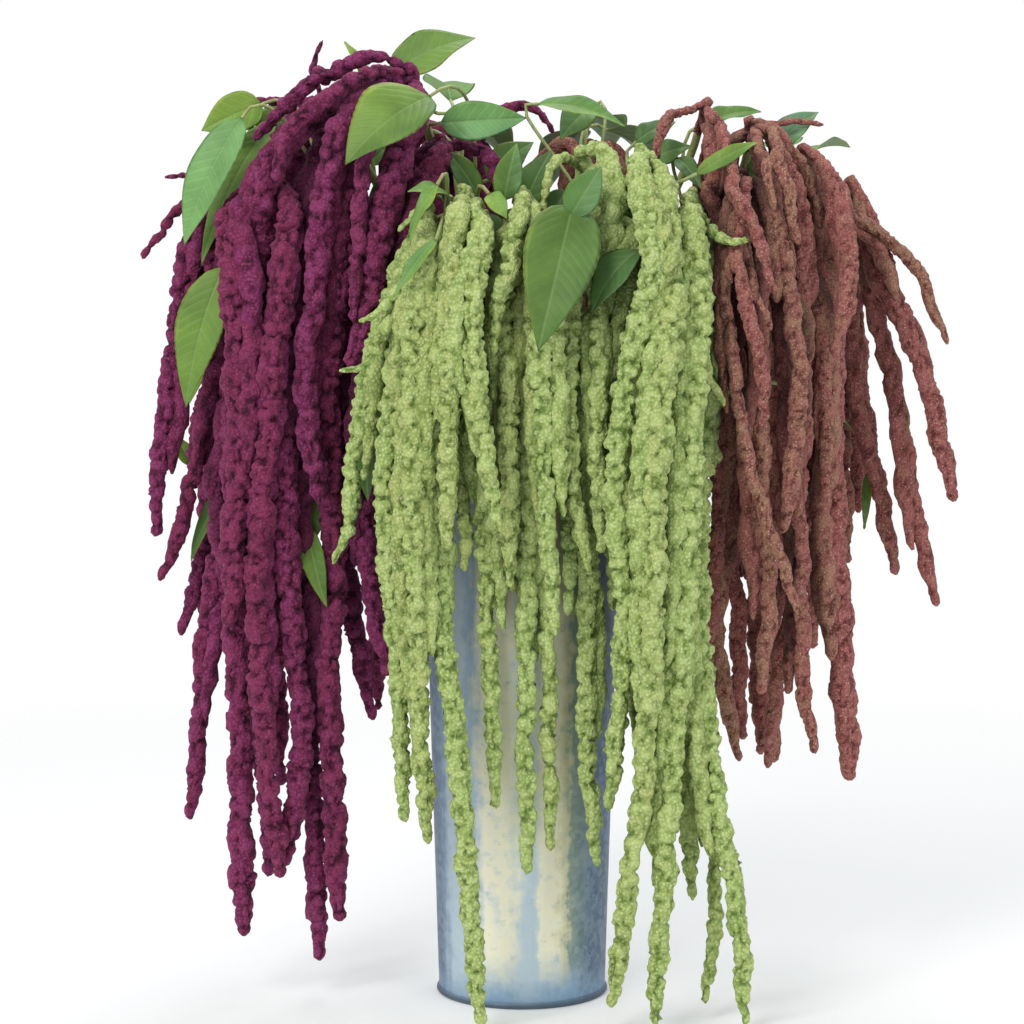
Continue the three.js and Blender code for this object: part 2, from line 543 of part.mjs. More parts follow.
// Solids
function solid(vertices, faces) {
  const mesh = new wasm.Mesh({
    numProp: 3,
    vertProperties: Float32Array.from(vertices.flatMap((v) => [v.x, v.y, v.z])),
    triVerts: Uint32Array.from(faces.flat()),
  });
  return new wasm.Manifold(mesh);
}

// A closed tube through the points, each ring turned on the last by `twist`.
function tube(points, radii, sides, twist, lastWay) {
  const rings = [];
  const tangent = new THREE.Vector3();
  const normal = new THREE.Vector3();
  points.forEach((p, i) => {
    const before = points[Math.max(0, i - 1)];
    const after = points[Math.min(points.length - 1, i + 1)];
    tangent.subVectors(after, before).normalize();
    if (lastWay && i === points.length - 1) tangent.copy(lastWay);
    if (i === 0) normal.set(tangent.z, 0, -tangent.x + 0.001).cross(tangent);
    normal.addScaledVector(tangent, -normal.dot(tangent)).normalize();
    const across = new THREE.Vector3().crossVectors(tangent, normal);
    const ring = [];
    for (let k = 0; k < sides; k++) {
      const angle = (2 * Math.PI * k) / sides + twist * i;
      ring.push(p.clone().addScaledVector(normal, radii[i] * Math.cos(angle)).addScaledVector(across, radii[i] * Math.sin(angle)));
    }
    rings.push(ring);
  });
  const faces = [];
  const last = (points.length - 1) * sides;
  for (let i = 0; i + 1 < points.length; i++) {
    for (let k = 0; k < sides; k++) {
      const a = i * sides + k;
      const b = i * sides + ((k + 1) % sides);
      faces.push([a, b, a + sides], [b, b + sides, a + sides]);
    }
  }
  for (let k = 1; k + 1 < sides; k++) {
    faces.push([0, k + 1, k], [last, last + k, last + k + 1]);
  }
  return solid(rings.flat(), faces);
}

function along(chain, step, inset) {
  const points = [];
  const radii = [];
  const steps = Math.max(2, Math.round(((chain.count - 1) * step.bead) / step.ring));
  for (let i = 0; i <= steps; i++) {
    const k = (i / steps) * (chain.count - 1);
    const low = Math.min(Math.floor(k), chain.count - 2);
    const a = beads[chain.first + low];
    const b = beads[chain.first + low + 1];
    points.push(a.at.clone().lerp(b.at, k - low));
    radii.push(THREE.MathUtils.lerp(a.radius, b.radius, k - low) - inset);
  }
  return { points, radii };
}

// The parts as one body, without the pockets that close up among the roots.
function join(parts) {
  const bodies = parts.reduce((sum, part) => sum.add(part)).decompose().filter((body) => body.volume() > 0);
  return bodies.reduce((sum, body) => sum.add(body));
}

function toMesh(name, shape, material) {
  const data = shape.getMesh();
  const geometry = new THREE.BufferGeometry();
  const places = [];
  for (let i = 0; i < data.numVert; i++) {
    places.push(...data.vertProperties.slice(i * data.numProp, i * data.numProp + 3));
  }
  geometry.setAttribute('position', new THREE.Float32BufferAttribute(places, 3));
  geometry.setIndex(Array.from(data.triVerts));
  const mesh = new THREE.Mesh(mergeVertices(geometry, 1e-3), material);
  mesh.geometry.computeVertexNormals();
  mesh.name = name;
  return mesh;
}

function lathe(profile) {
  const geometry = new THREE.LatheGeometry(profile.map(([r, z]) => new THREE.Vector2(r, z)), bucketSides);
  geometry.deleteAttribute('normal');
  geometry.deleteAttribute('uv');
  geometry.rotateX(Math.PI / 2);
  const merged = mergeVertices(geometry, 1e-3);
  const position = merged.attributes.position;
  const vertices = [];
  for (let i = 0; i < position.count; i++) vertices.push(new THREE.Vector3().fromBufferAttribute(position, i));
  const faces = [];
  for (let i = 0; i < merged.index.count; i += 3) {
    const [a, b, c] = [merged.index.getX(i), merged.index.getX(i + 1), merged.index.getX(i + 2)];
    if (a !== b && b !== c && a !== c) faces.push([a, b, c]);
  }
  return solid(vertices, faces);
}

function bucket() {
  const profile = [[0, 0], [footBeadRadius - 1, 0], [footBeadRadius, 1.5], [footBeadRadius, footBeadHeight - 1.5],
    [bucketRadius(footBeadHeight), footBeadHeight + 0.5]];
  profile.push(
    [bucketRadius(bucketHeight - rimBeadHeight), bucketHeight - rimBeadHeight],
    [rimBeadRadius, bucketHeight - rimBeadHeight + 2], [rimBeadRadius, bucketHeight - 2],
    [rimBeadRadius - 2, bucketHeight], [rimRadius - wall, bucketHeight - 1],
    [baseRadius - wall, floorThick], [0, floorThick],
  );
  return lathe(profile);
}

function water(stems) {
  const low = floorThick + 0.3;
  const side = (z) => bucketRadius(z) - wall - 0.4;
  let body = lathe([[0, low], [side(low), low], [side(waterTop), waterTop], [0, waterTop]]);
  for (const stem of stems) {
    const a = beads[stem.first].home;
    const b = heads.find((head) => head.stem === stem).mouth;
    const top = new THREE.Vector3(b[0], b[1], bucketHeight);
    const down = a.clone().sub(top).normalize();
    body = body.subtract(tube([a.clone().addScaledVector(down, 12), top], [stemRadius + clearance, stemRadius + clearance], stemSides, 0));
  }
  return body;
}

// A stalk of three-sided rings that opens into the blade.
function leafSolid(leaf) {
  const lastWay = (line) => line[line.length - 1].clone().sub(line[line.length - 2]).normalize();
  let stalk = along(leaf.stalk, { bead: 8, ring: stalkStep }, 0.4).points;
  if (lastWay(stalk).angleTo(leaf.along) > sharpTurn) stalk = along(leaf.stalk, { bead: 8, ring: sharpStep }, 0.4).points;
  const side = leaf.side.clone();
  const tangent = lastWay(stalk).add(leaf.along).normalize();
  const places = [];
  for (let i = stalk.length - 1; i >= 0; i--) {
    if (i < stalk.length - 1) tangent.subVectors(stalk[i + 1], stalk[Math.max(0, i - 1)]).normalize();
    side.addScaledVector(tangent, -side.dot(tangent)).normalize();
    const face = side.clone().cross(tangent);
    places.unshift(
      stalk[i].clone().addScaledVector(side, stalkRadius),
      stalk[i].clone().addScaledVector(face, -stalkRadius),
      stalk[i].clone().addScaledVector(side, -stalkRadius),
    );
  }
  const faces = [[0, 2, 1]];
  for (let i = 0; i + 1 < stalk.length; i++) {
    for (let k = 0; k < 3; k++) {
      const [a, b] = [3 * i + k, 3 * i + ((k + 1) % 3)];
      faces.push([a, b, a + 3], [b, b + 3, a + 3]);
    }
  }
  const [right, keel, left] = [3 * stalk.length - 3, 3 * stalk.length - 2, 3 * stalk.length - 1];
  const first = places.length;
  const stations = leaf.width > smallLeaf ? [0.12, 0.36, 0.64, 0.86] : [0.14, 0.42, 0.76];
  const section = [[1, 0.5], [1, -0.5], [0, -0.5], [-1, -0.5], [-1, 0.5], [0, 0.5]];
  stations.forEach((s) => section.forEach(([t, up]) => {
    places.push(bladePoint(leaf, s, t).addScaledVector(leaf.face, up * leafThick));
  }));
  const at = (k) => first + k;
  faces.push(
    [right, keel, at(1)], [keel, at(2), at(1)], [keel, left, at(2)], [left, at(3), at(2)],
    [left, at(4), at(3)], [left, at(5), at(4)], [left, right, at(5)], [right, at(0), at(5)], [right, at(1), at(0)],
  );
  for (let i = 0; i + 1 < stations.length; i++) {
    for (let k = 0; k < 6; k++) {
      const [a, b] = [at(6 * i + k), at(6 * i + ((k + 1) % 6))];
      const under = k === 1 || k === 2;
      if (under) faces.push([a, b, b + 6], [a, b + 6, a + 6]);
      else faces.push([a, b, a + 6], [b, b + 6, a + 6]);
    }
  }
  const end = places.length;
  places.push(bladePoint(leaf, 1, 0));
  for (let k = 0; k < 6; k++) faces.push([end - 6 + k, end - 6 + ((k + 1) % 6), end]);
  return solid(places, faces);
}

function greenery(head) {
  const points = head.rings.map((k) => beads[head.stem.first + k].at);
  const radii = head.rings.map((k) => beads[head.stem.first + k].radius);
  const parts = [tube(points, radii, stemSides, 0, head.lean)];
  blades.filter((leaf) => leaf.head === head.index).forEach((leaf) => parts.push(leafSolid(leaf)));
  return join(parts);
}

function spray(head) {
  const rachis = along(head.rachis, { bead: 9, ring: 18 }, slack);
  const parts = [tube(rachis.points, rachis.radii, 5, 0)];
  head.hung.forEach((chain) => {
    const { points, radii } = along(chain, { bead: beadStep, ring: head.fan ? backClusterStep : clusterStep }, 0);
    parts.push(tube(points, radii, tasselSides, Math.PI / tasselSides));
  });
  return join(parts);
}

const group = new THREE.Group();
const paint = (colour, roughness, metalness) =>
  new THREE.MeshStandardMaterial({ color: colour, roughness, metalness, flatShading: true });
group.add(toMesh('bucket', bucket(), paint(colours.zinc, 0.45, 0.85)));
group.add(toMesh('water', water(heads.map((head) => head.stem)), paint(colours.water, 0.1, 0)));
const green = paint(colours.leaf, 0.6, 0);
const tints = {
  magenta: paint(colours.magenta, 0.9, 0),
  green: paint(colours.green, 0.9, 0),
  rose: paint(colours.rose, 0.9, 0),
};
const tally = {};
heads.forEach((head) => {
  tally[head.kind] = (tally[head.kind] ?? 0) + 1;
  group.add(toMesh(`${head.kind}_stem_${tally[head.kind]}`, greenery(head), green));
  group.add(toMesh(`${head.kind}_spray_${tally[head.kind]}`, spray(head), tints[head.kind]));
});

export default group;
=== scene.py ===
import math

import bpy
import numpy as np
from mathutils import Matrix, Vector


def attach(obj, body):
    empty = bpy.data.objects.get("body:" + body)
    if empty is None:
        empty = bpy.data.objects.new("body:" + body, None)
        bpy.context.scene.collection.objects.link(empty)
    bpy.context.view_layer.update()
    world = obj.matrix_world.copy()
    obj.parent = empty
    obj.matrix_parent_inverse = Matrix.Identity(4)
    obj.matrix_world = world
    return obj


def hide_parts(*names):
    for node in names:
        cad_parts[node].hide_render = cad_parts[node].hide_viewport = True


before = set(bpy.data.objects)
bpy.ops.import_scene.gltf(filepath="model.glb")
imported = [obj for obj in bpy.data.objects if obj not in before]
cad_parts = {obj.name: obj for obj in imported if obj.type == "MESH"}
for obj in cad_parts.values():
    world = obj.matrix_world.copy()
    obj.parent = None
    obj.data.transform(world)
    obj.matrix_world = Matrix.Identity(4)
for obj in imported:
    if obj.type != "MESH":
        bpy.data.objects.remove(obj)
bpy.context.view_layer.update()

mm = 0.001  # the bunch is laid out in millimetres, the scene is in metres

# The viewpoint of the photo, and the camera that stands there.
eye = np.array([-10.0, -2600.0, 660.0])
tilt = math.radians(4.03)
reach = 2643.0  # focal length in pixels of a picture 1024 wide
pictureMiddle = 512
sensorWidth = 36

camera = bpy.data.cameras.new("camera")
camera.sensor_width = sensorWidth
camera.lens = camera.sensor_width * reach / (2 * pictureMiddle)
cameraStand = bpy.data.objects.new("camera", camera)
cameraStand.location = eye * mm
cameraStand.rotation_euler = (math.radians(90) - tilt, 0, 0)
bpy.context.collection.objects.link(cameraStand)
bpy.context.scene.camera = cameraStand
bpy.context.scene.view_settings.view_transform = "Standard"

bucketShape = {
    "height": 500.0, "baseRadius": 82.5, "rimRadius": 97.5, "wall": 0.9, "floorThick": 2.0,
    "footBead": 85.0, "footBeadHeight": 6.0, "rimBead": 101.0, "rimBeadHeight": 9.0, "sides": 144,
    "footZone": 8, "rimZone": 12, "overRim": 6,  # where hanging beads keep clear of the beads and the rim
}
stemShape = {
    "foot": 3.0, "radius": 5.4, "topRadius": 4.2, "footSpread": 0.72, "step": 46.0, "beadStep": 12,
    "leave": 0.42, "arrive": 0.36,  # how far the curve from the mouth to the head keeps its ends' directions
}
stalkShape = {"radius": 1.8, "spare": 0.4, "step": 8, "below": 4, "leave": 0.35, "arrive": 0.4}
bladeShape = {
    "stops": [[0, 0.12, 0.36, 0.64, 0.86, 1], [0, 0.62, 1, 0.8, 0.4, 0]],  # half width along a leaf
    "step": 8, "beadRadius": 2.4, "arch": 0.4, "waves": 9, "sideShift": 2, "fold": (0.12, 0.16),
    "wave": (1.2, 1.8), "fullTurn": 6.28, "facing": np.array([0, -0.85, 0.52]), "seed": 9,
}
backLeaves = {
    "count": 3, "start": -47, "step": 40, "stepDraw": 14, "out": 22, "up": 26, "upStep": 14, "reach": 70,
    "reachDraw": 24, "rise": 24, "fallDraw": 84, "width": 38, "widthDraw": 18, "turnDraw": 20, "tint": 0.25,
    "tintStep": 0.2, "facing": np.array([0, 0, 1.0]),
}
backTassels = {
    "seed": 71, "turnDraw": 8, "reach": 38, "reachStep": 34, "reachDraw": 16, "low": 170, "lowDraw": 330,
    "thick": 11, "thickDraw": 3,
}
hanging = {
    "beadStep": 10.0, "fullness": 1.1, "rachisRadius": 6.5, "rachisStep": 9, "rachisStart": 0.35,
    "shortestRachis": 36, "rootSpread": 0.5, "held": 2, "slack": 0.9, "offFloor": 1.5,
    "root": (0.34, -20, 80), "tip": (0.32, -12, 62), "slimming": 0.28,
    "rounds": 220, "cell": 44.0, "refresh": 8, "lookAhead": 8, "sameHead": 0.88, "loose": 5, "crowd": 0.4,
    "smooth": 0.5, "leastSmooth": 0.02, "smoothings": 2,
}

# Each head: where its stem leaves the bucket, where the stem ends, where the rachis ends, and its tassels.
# A tassel is a thickness and the points it hangs through: across, down and toward the viewer. A head at the
# back has a fan instead: heading and half spread of the tassels, their number, and where the leaves point.
heads = [
    {"kind": "magenta", "mouth": [-45, -30], "crown": [418, 100, 15], "top": [407, 68, 30], "tassels": [
        [10, [380, 58, 42], [345, 66, 48], [300, 92, 50], [256, 136, 48]],
        [9, [370, 76, 62], [336, 94, 76], [304, 116, 80], [283, 146, 78], [276, 176, 76]],
        [16, [360, 92, 36], [326, 116, 44], [296, 144, 50], [274, 180, 52], [258, 240, 50],
            [243, 330, 48], [234, 430, 46], [236, 560, 44], [239, 700, 44], [242, 820, 44], [243, 930, 44]],
        [14, [372, 90, 55], [340, 127, 72], [324, 180, 76], [316, 240, 78], [309, 320, 80],
            [307, 410, 78], [320, 500, 76]],
        [17, [420, 112, 50], [402, 163, 78], [386, 230, 88], [375, 290, 88], [356, 362, 88]],
        [8, [386, 118, 66], [362, 171, 92], [358, 235, 98], [354, 318, 98]],
    ]},
    {"kind": "magenta", "mouth": [-55, 0], "crown": [350, 138, -25], "top": [332, 108, -12], "tassels": [
        [11, [312, 100, -8], [286, 118, -14], [259, 168, -24], [249, 240, -16], [240, 320, 16],
            [229, 420, 12], [222, 520, 6], [208, 600, 0], [199, 700, 0], [191, 816, 0]],
        [15, [346, 150, 36], [340, 211, 58], [335, 262, 62], [327, 330, 60], [321, 420, 55],
            [317, 500, 50], [320, 600, 46], [326, 760, 42], [338, 915, 40]],
        [14, [322, 140, 24], [302, 200, 40], [291, 280, 56], [286, 360, 60], [288, 450, 60],
            [291, 530, 58], [298, 650, 55], [301, 760, 50], [285, 862, 50]],
        [12, [302, 122, -30], [281, 150, -54], [266, 250, -62], [260, 350, -62], [262, 450, -60],
            [258, 560, -56], [262, 700, -50], [269, 874, -44]],
        [6, [304, 101, -8], [278, 99, -8], [248, 99, -8]],
        [5, [318, 88, -4], [312, 66, -2], [322, 41, 0]],
    ]},
    {"kind": "magenta", "mouth": [-80, -15], "crown": [236, 212, -12], "top": [214, 194, -6], "tassels": [
        [11, [200, 208, 4], [187, 250, 8], [176, 330, 8], [163, 430, 8], [155, 532, 8]],
        [10, [214, 225, 14], [210, 275, 18], [214, 340, 16], [200, 420, 10], [188, 500, 10],
            [160, 578, 10]],
        [6, [196, 194, 0], [180, 206, -4], [163, 230, -5], [146, 257, -5]],
        [5, [202, 182, -10], [186, 174, -12], [166, 177, -12]],
        [7, [218, 225, -20], [212, 260, -26], [205, 290, -26], [200, 330, -26]],
        [10, [232, 230, -20], [229, 300, -26], [219, 400, -30], [208, 520, -30], [194, 590, -26],
            [182, 632, -26]],
    ]},
    {"kind": "magenta", "mouth": [-70, -42], "crown": [292, 196, 15], "top": [270, 178, 30], "tassels": [
        [16, [256, 205, 48], [257, 255, 70], [247, 330, 76], [239, 420, 76], [238, 510, 72],
            [231, 623, 68]],
        [14, [275, 205, 60], [280, 262, 82], [276, 340, 84], [270, 430, 82], [262, 520, 78],
            [256, 600, 75], [262, 700, 70], [272, 800, 68], [281, 872, 68]],
        [13, [290, 212, 40], [298, 280, 42], [301, 350, 42], [299, 450, 40], [303, 560, 36],
            [311, 670, 34], [316, 800, 30], [321, 955, 30]],
        [12, [250, 212, -30], [241, 290, -48], [233, 380, -54], [222, 470, -54], [213, 540, -50],
            [202, 655, -46]],
        [12, [284, 212, -16], [286, 300, -24], [283, 400, -20], [278, 500, -16], [275, 600, -16],
            [277, 700, -22], [281, 780, -20]],
    ]},
    {"kind": "magenta", "mouth": [-14, 8], "crown": [455, 160, -12], "top": [442, 142, 12], "tassels": [
        [12, [405, 180, 32], [382, 290, 36], [366, 400, 34], [362, 480, 32], [367, 570, 30],
            [388, 672, 28]],
        [12, [402, 172, 0], [371, 250, 0], [349, 350, 0], [342, 450, 0], [346, 560, 0], [358, 640, 0],
            [373, 716, 0]],
        [15, [440, 158, 48], [428, 182, 66], [414, 222, 72], [402, 280, 68], [390, 372, 60]],
        [11, [468, 146, 30], [490, 156, 40], [500, 182, 46], [497, 220, 46]],
        [7, [476, 126, -40], [505, 108, -60], [530, 109, -62], [552, 131, -56]],
    ]},
    {"kind": "magenta", "mouth": [-60, 38], "crown": [316, 186, -108], "top": [298, 164, -122],
     "fan": [152, 60, 5, 140]},
    {"kind": "magenta", "mouth": [-26, 44], "crown": [456, 164, -98], "top": [454, 138, -124],
     "fan": [100, 64, 6, 96]},
    {"kind": "green", "mouth": [-46, -64], "crown": [434, 230, 70], "top": [427, 206, 96], "tassels": [
        [6, [418, 210, 108], [408, 222, 112], [400, 230, 112]],
        [11, [413, 250, 112], [395, 300, 118], [376, 350, 118], [362, 410, 116], [352, 480, 112],
            [350, 520, 110], [336, 560, 110]],
        [12, [418, 255, 126], [404, 305, 136], [392, 360, 140], [387, 440, 140], [386, 530, 138],
            [394, 620, 132], [400, 720, 128], [405, 818, 126]],
        [13, [426, 262, 142], [415, 325, 152], [412, 400, 156], [414, 480, 156], [416, 570, 152],
            [420, 700, 146], [428, 840, 142]],
        [7, [404, 292, 136], [384, 340, 146], [367, 368, 148], [346, 371, 148]],
        [7, [410, 266, 132], [400, 292, 146], [386, 309, 150], [365, 323, 150]],
    ]},
    {"kind": "green", "mouth": [-20, -72], "crown": [472, 214, 58], "top": [467, 192, 84], "tassels": [
        [12, [450, 222, 122], [443, 300, 142], [436, 380, 146], [434, 460, 146], [430, 543, 146]],
        [12, [458, 230, 136], [452, 300, 162], [451, 380, 168], [449, 460, 168], [446, 546, 168]],
        [12, [474, 225, 142], [468, 285, 168], [469, 345, 176], [479, 420, 178], [490, 480, 178],
            [498, 527, 176]],
        [14, [462, 240, 108], [448, 330, 112], [436, 440, 116], [437, 540, 122], [442, 620, 132],
            [452, 720, 150], [462, 820, 160], [469, 900, 165], [481, 1020, 168]],
        [11, [480, 228, 108], [479, 320, 113], [481, 420, 116], [484, 520, 118], [488, 640, 118],
            [496, 805, 122]],
        [11, [463, 226, 80], [463, 320, 92], [463, 420, 106], [464, 500, 116], [465, 566, 118]],
    ]},
    {"kind": "green", "mouth": [2, -46], "crown": [530, 212, 52], "top": [524, 190, 84], "tassels": [
        [10, [517, 212, 132], [507, 262, 154], [497, 310, 158], [492, 352, 158]],
        [12, [514, 225, 118], [506, 300, 132], [508, 380, 138], [510, 470, 140], [510, 582, 140]],
        [12, [534, 232, 108], [531, 330, 113], [528, 430, 116], [527, 540, 118], [526, 700, 120],
            [527, 869, 124]],
        [12, [530, 226, 132], [538, 300, 150], [540, 380, 156], [542, 450, 158], [547, 530, 158],
            [556, 631, 158]],
        [10, [524, 226, 80], [519, 310, 92], [520, 400, 106], [521, 500, 116], [522, 590, 118]],
        [10, [542, 218, 92], [551, 300, 110], [553, 400, 113], [551, 500, 114], [549, 600, 116],
            [549, 720, 118], [551, 848, 118]],
    ]},
    {"kind": "green", "mouth": [12, -20], "crown": [588, 186, 36], "top": [580, 152, 66], "tassels": [
        [12, [600, 152, 96], [605, 195, 112], [606, 250, 114], [601, 330, 114], [593, 430, 114],
            [590, 560, 114], [586, 700, 114], [590, 800, 114], [596, 863, 114]],
        [12, [602, 196, 64], [590, 250, 92], [569, 320, 124], [566, 400, 136], [571, 470, 140],
            [578, 520, 140], [587, 566, 140]],
        [11, [602, 190, 70], [604, 240, 94], [603, 310, 126], [602, 400, 140], [599, 480, 142],
            [603, 549, 142]],
        [11, [578, 200, 40], [563, 290, 56], [559, 400, 92], [561, 500, 114], [562, 612, 116]],
        [6, [562, 158, 94], [550, 168, 106], [544, 190, 110], [540, 214, 110]],
    ]},
    {"kind": "green", "mouth": [27, -73], "crown": [648, 172, 28], "top": [642, 148, 60], "tassels": [
        [13, [638, 178, 108], [636, 240, 140], [631, 300, 150], [621, 370, 155], [615, 450, 158],
            [616, 540, 158], [624, 620, 156], [618, 720, 152], [609, 806, 150]],
        [14, [656, 180, 100], [664, 235, 132], [668, 300, 152], [664, 380, 166], [656, 460, 172],
            [653, 560, 174], [650, 680, 172], [643, 780, 170], [630, 880, 168], [612, 1003, 165]],
        [11, [634, 186, 36], [618, 280, 40], [611, 400, 74], [608, 500, 112], [607, 606, 114]],
        [12, [650, 186, 78], [650, 260, 102], [647, 340, 113], [640, 440, 118], [636, 540, 122],
            [640, 640, 125], [638, 748, 128]],
    ]},
    {"kind": "green", "mouth": [52, -60], "crown": [698, 214, 28], "top": [692, 192, 58], "tassels": [
        [14, [684, 215, 98], [685, 262, 130], [690, 330, 146], [690, 420, 150], [687, 520, 152],
            [684, 610, 152], [676, 710, 155], [670, 800, 160], [664, 890, 165], [655, 1020, 168]],
        [9, [706, 232, 80], [712, 280, 94], [714, 330, 98], [718, 360, 98], [727, 394, 98]],
        [9, [696, 232, 92], [700, 300, 112], [702, 350, 120], [708, 380, 122], [722, 403, 122]],
        [13, [700, 242, 58], [705, 320, 66], [702, 420, 84], [698, 520, 102], [700, 620, 120],
            [707, 720, 130], [720, 820, 140], [736, 900, 150], [745, 1020, 155]],
        [7, [712, 222, 84], [727, 238, 108], [738, 244, 120], [752, 243, 122]],
        [12, [690, 236, 70], [681, 320, 92], [676, 420, 102], [674, 520, 106], [678, 640, 110],
            [686, 760, 116], [692, 895, 118]],
        [10, [699, 232, 46], [698, 330, 48], [691, 450, 62], [691, 560, 78], [700, 700, 95],
            [712, 820, 110], [716, 900, 120], [706, 1001, 125]],
    ]},
    {"kind": "rose", "mouth": [30, -5], "crown": [698, 132, -25], "top": [703, 112, -10], "tassels": [
        [9, [690, 110, 8], [673, 116, 22], [661, 136, 34], [657, 158, 40]],
        [8, [716, 122, 34], [724, 158, 70], [736, 198, 108], [756, 243, 116], [771, 292, 118]],
        [11, [712, 116, 14], [717, 150, 34], [721, 195, 64], [722, 245, 74], [726, 295, 76],
            [737, 346, 80]],
        [12, [704, 158, -38], [704, 230, -44], [712, 320, -42], [724, 420, -42], [732, 520, -40],
            [737, 620, -38], [743, 735, -36]],
        [10, [712, 145, 20], [714, 210, 28], [723, 290, 34], [735, 370, 34], [745, 450, 32],
            [758, 530, 30], [775, 600, 28]],
    ]},
    {"kind": "rose", "mouth": [42, -30], "crown": [748, 150, -35], "top": [752, 128, -18], "tassels": [
        [6, [772, 123, -10], [795, 119, -10], [821, 123, -10]],
        [9, [768, 124, 8], [796, 158, 24], [812, 188, 32], [820, 224, 34]],
        [8, [772, 138, 40], [782, 170, 74], [789, 205, 90], [797, 243, 92]],
        [8, [756, 140, 34], [762, 166, 62], [768, 192, 78], [771, 214, 84]],
        [11, [768, 134, 18], [785, 174, 36], [798, 215, 48], [803, 270, 54], [800, 340, 58],
            [803, 430, 56], [796, 520, 50], [793, 610, 45], [790, 690, 45]],
        [12, [728, 142, -24], [720, 190, -34], [734, 280, -44], [748, 360, -46], [752, 450, -46],
            [755, 560, -48], [757, 660, -50], [762, 752, -50]],
        [10, [752, 142, 16], [760, 188, 36], [768, 240, 52], [775, 300, 60], [782, 370, 64],
            [789, 440, 62], [797, 510, 60], [801, 590, 55], [800, 660, 50], [812, 748, 50]],
        [11, [736, 142, 6], [729, 190, 8], [728, 260, 0], [735, 340, -6], [728, 420, -8], [722, 500, -8],
            [716, 600, -10], [722, 680, -12], [738, 757, -14]],
    ]},
    {"kind": "rose", "mouth": [62, -10], "crown": [796, 175, -25], "top": [802, 152, -6], "tassels": [
        [12, [820, 165, 28], [838, 202, 50], [848, 260, 60], [846, 310, 60], [835, 352, 58]],
        [17, [815, 182, 8], [828, 240, 18], [832, 320, 20], [830, 400, 20], [832, 480, 20],
            [835, 560, 20], [842, 660, 20], [850, 775, 20]],
        [8, [812, 172, -22], [846, 210, -24], [880, 235, -24], [914, 270, -22], [932, 305, -20],
            [945, 343, -20]],
        [10, [801, 178, -6], [808, 240, -14], [812, 320, -18], [812, 420, -20], [805, 520, -20],
            [790, 610, -20], [776, 690, -20], [768, 766, -20]],
    ]},
    {"kind": "rose", "mouth": [80, 12], "crown": [836, 206, -68], "top": [846, 188, -54], "tassels": [
        [13, [864, 205, -44], [881, 250, -36], [897, 300, -32], [920, 360, -30], [936, 420, -30],
            [955, 498, -30]],
        [11, [857, 216, -62], [869, 280, -66], [886, 350, -70], [903, 430, -72], [912, 500, -72],
            [936, 604, -72]],
        [11, [846, 220, -78], [855, 300, -88], [859, 380, -92], [868, 440, -92], [880, 510, -92],
            [893, 569, -92]],
        [11, [838, 216, -96], [834, 300, -108], [836, 400, -112], [842, 480, -112], [846, 560, -112]],
    ]},
    {"kind": "rose", "mouth": [66, -38], "crown": [746, 196, -6], "top": [742, 176, 18], "tassels": [
        [7, [740, 206, 80], [743, 250, 98], [753, 290, 116], [769, 326, 126]],
        [10, [732, 198, 46], [734, 260, 54], [731, 330, 52], [722, 420, 42], [716, 520, 38],
            [711, 600, 36], [707, 662, 36]],
        [8, [729, 206, 76], [722, 270, 96], [729, 340, 108], [738, 410, 110], [752, 475, 112],
            [771, 532, 112], [786, 576, 110], [798, 614, 108]],
        [11, [745, 200, 70], [752, 262, 84], [760, 340, 90], [759, 420, 88], [762, 500, 84],
            [769, 580, 80], [762, 690, 76]],
        [9, [741, 208, 84], [741, 270, 110], [750, 320, 120], [762, 360, 122], [767, 418, 122]],
        [11, [758, 190, 66], [777, 232, 84], [790, 300, 90], [799, 380, 90], [794, 450, 88],
            [783, 530, 84]],
        [9, [750, 190, 40], [800, 250, 30], [822, 330, 42], [829, 420, 48], [826, 500, 48]],
    ]},
    {"kind": "rose", "mouth": [55, 42], "crown": [764, 214, -114], "top": [780, 190, -128],
     "fan": [30, 58, 5, 84]},
    {"kind": "rose", "mouth": [20, 46], "crown": [584, 182, -100], "top": [590, 154, -124],
     "fan": [80, 64, 6, 80]},
]

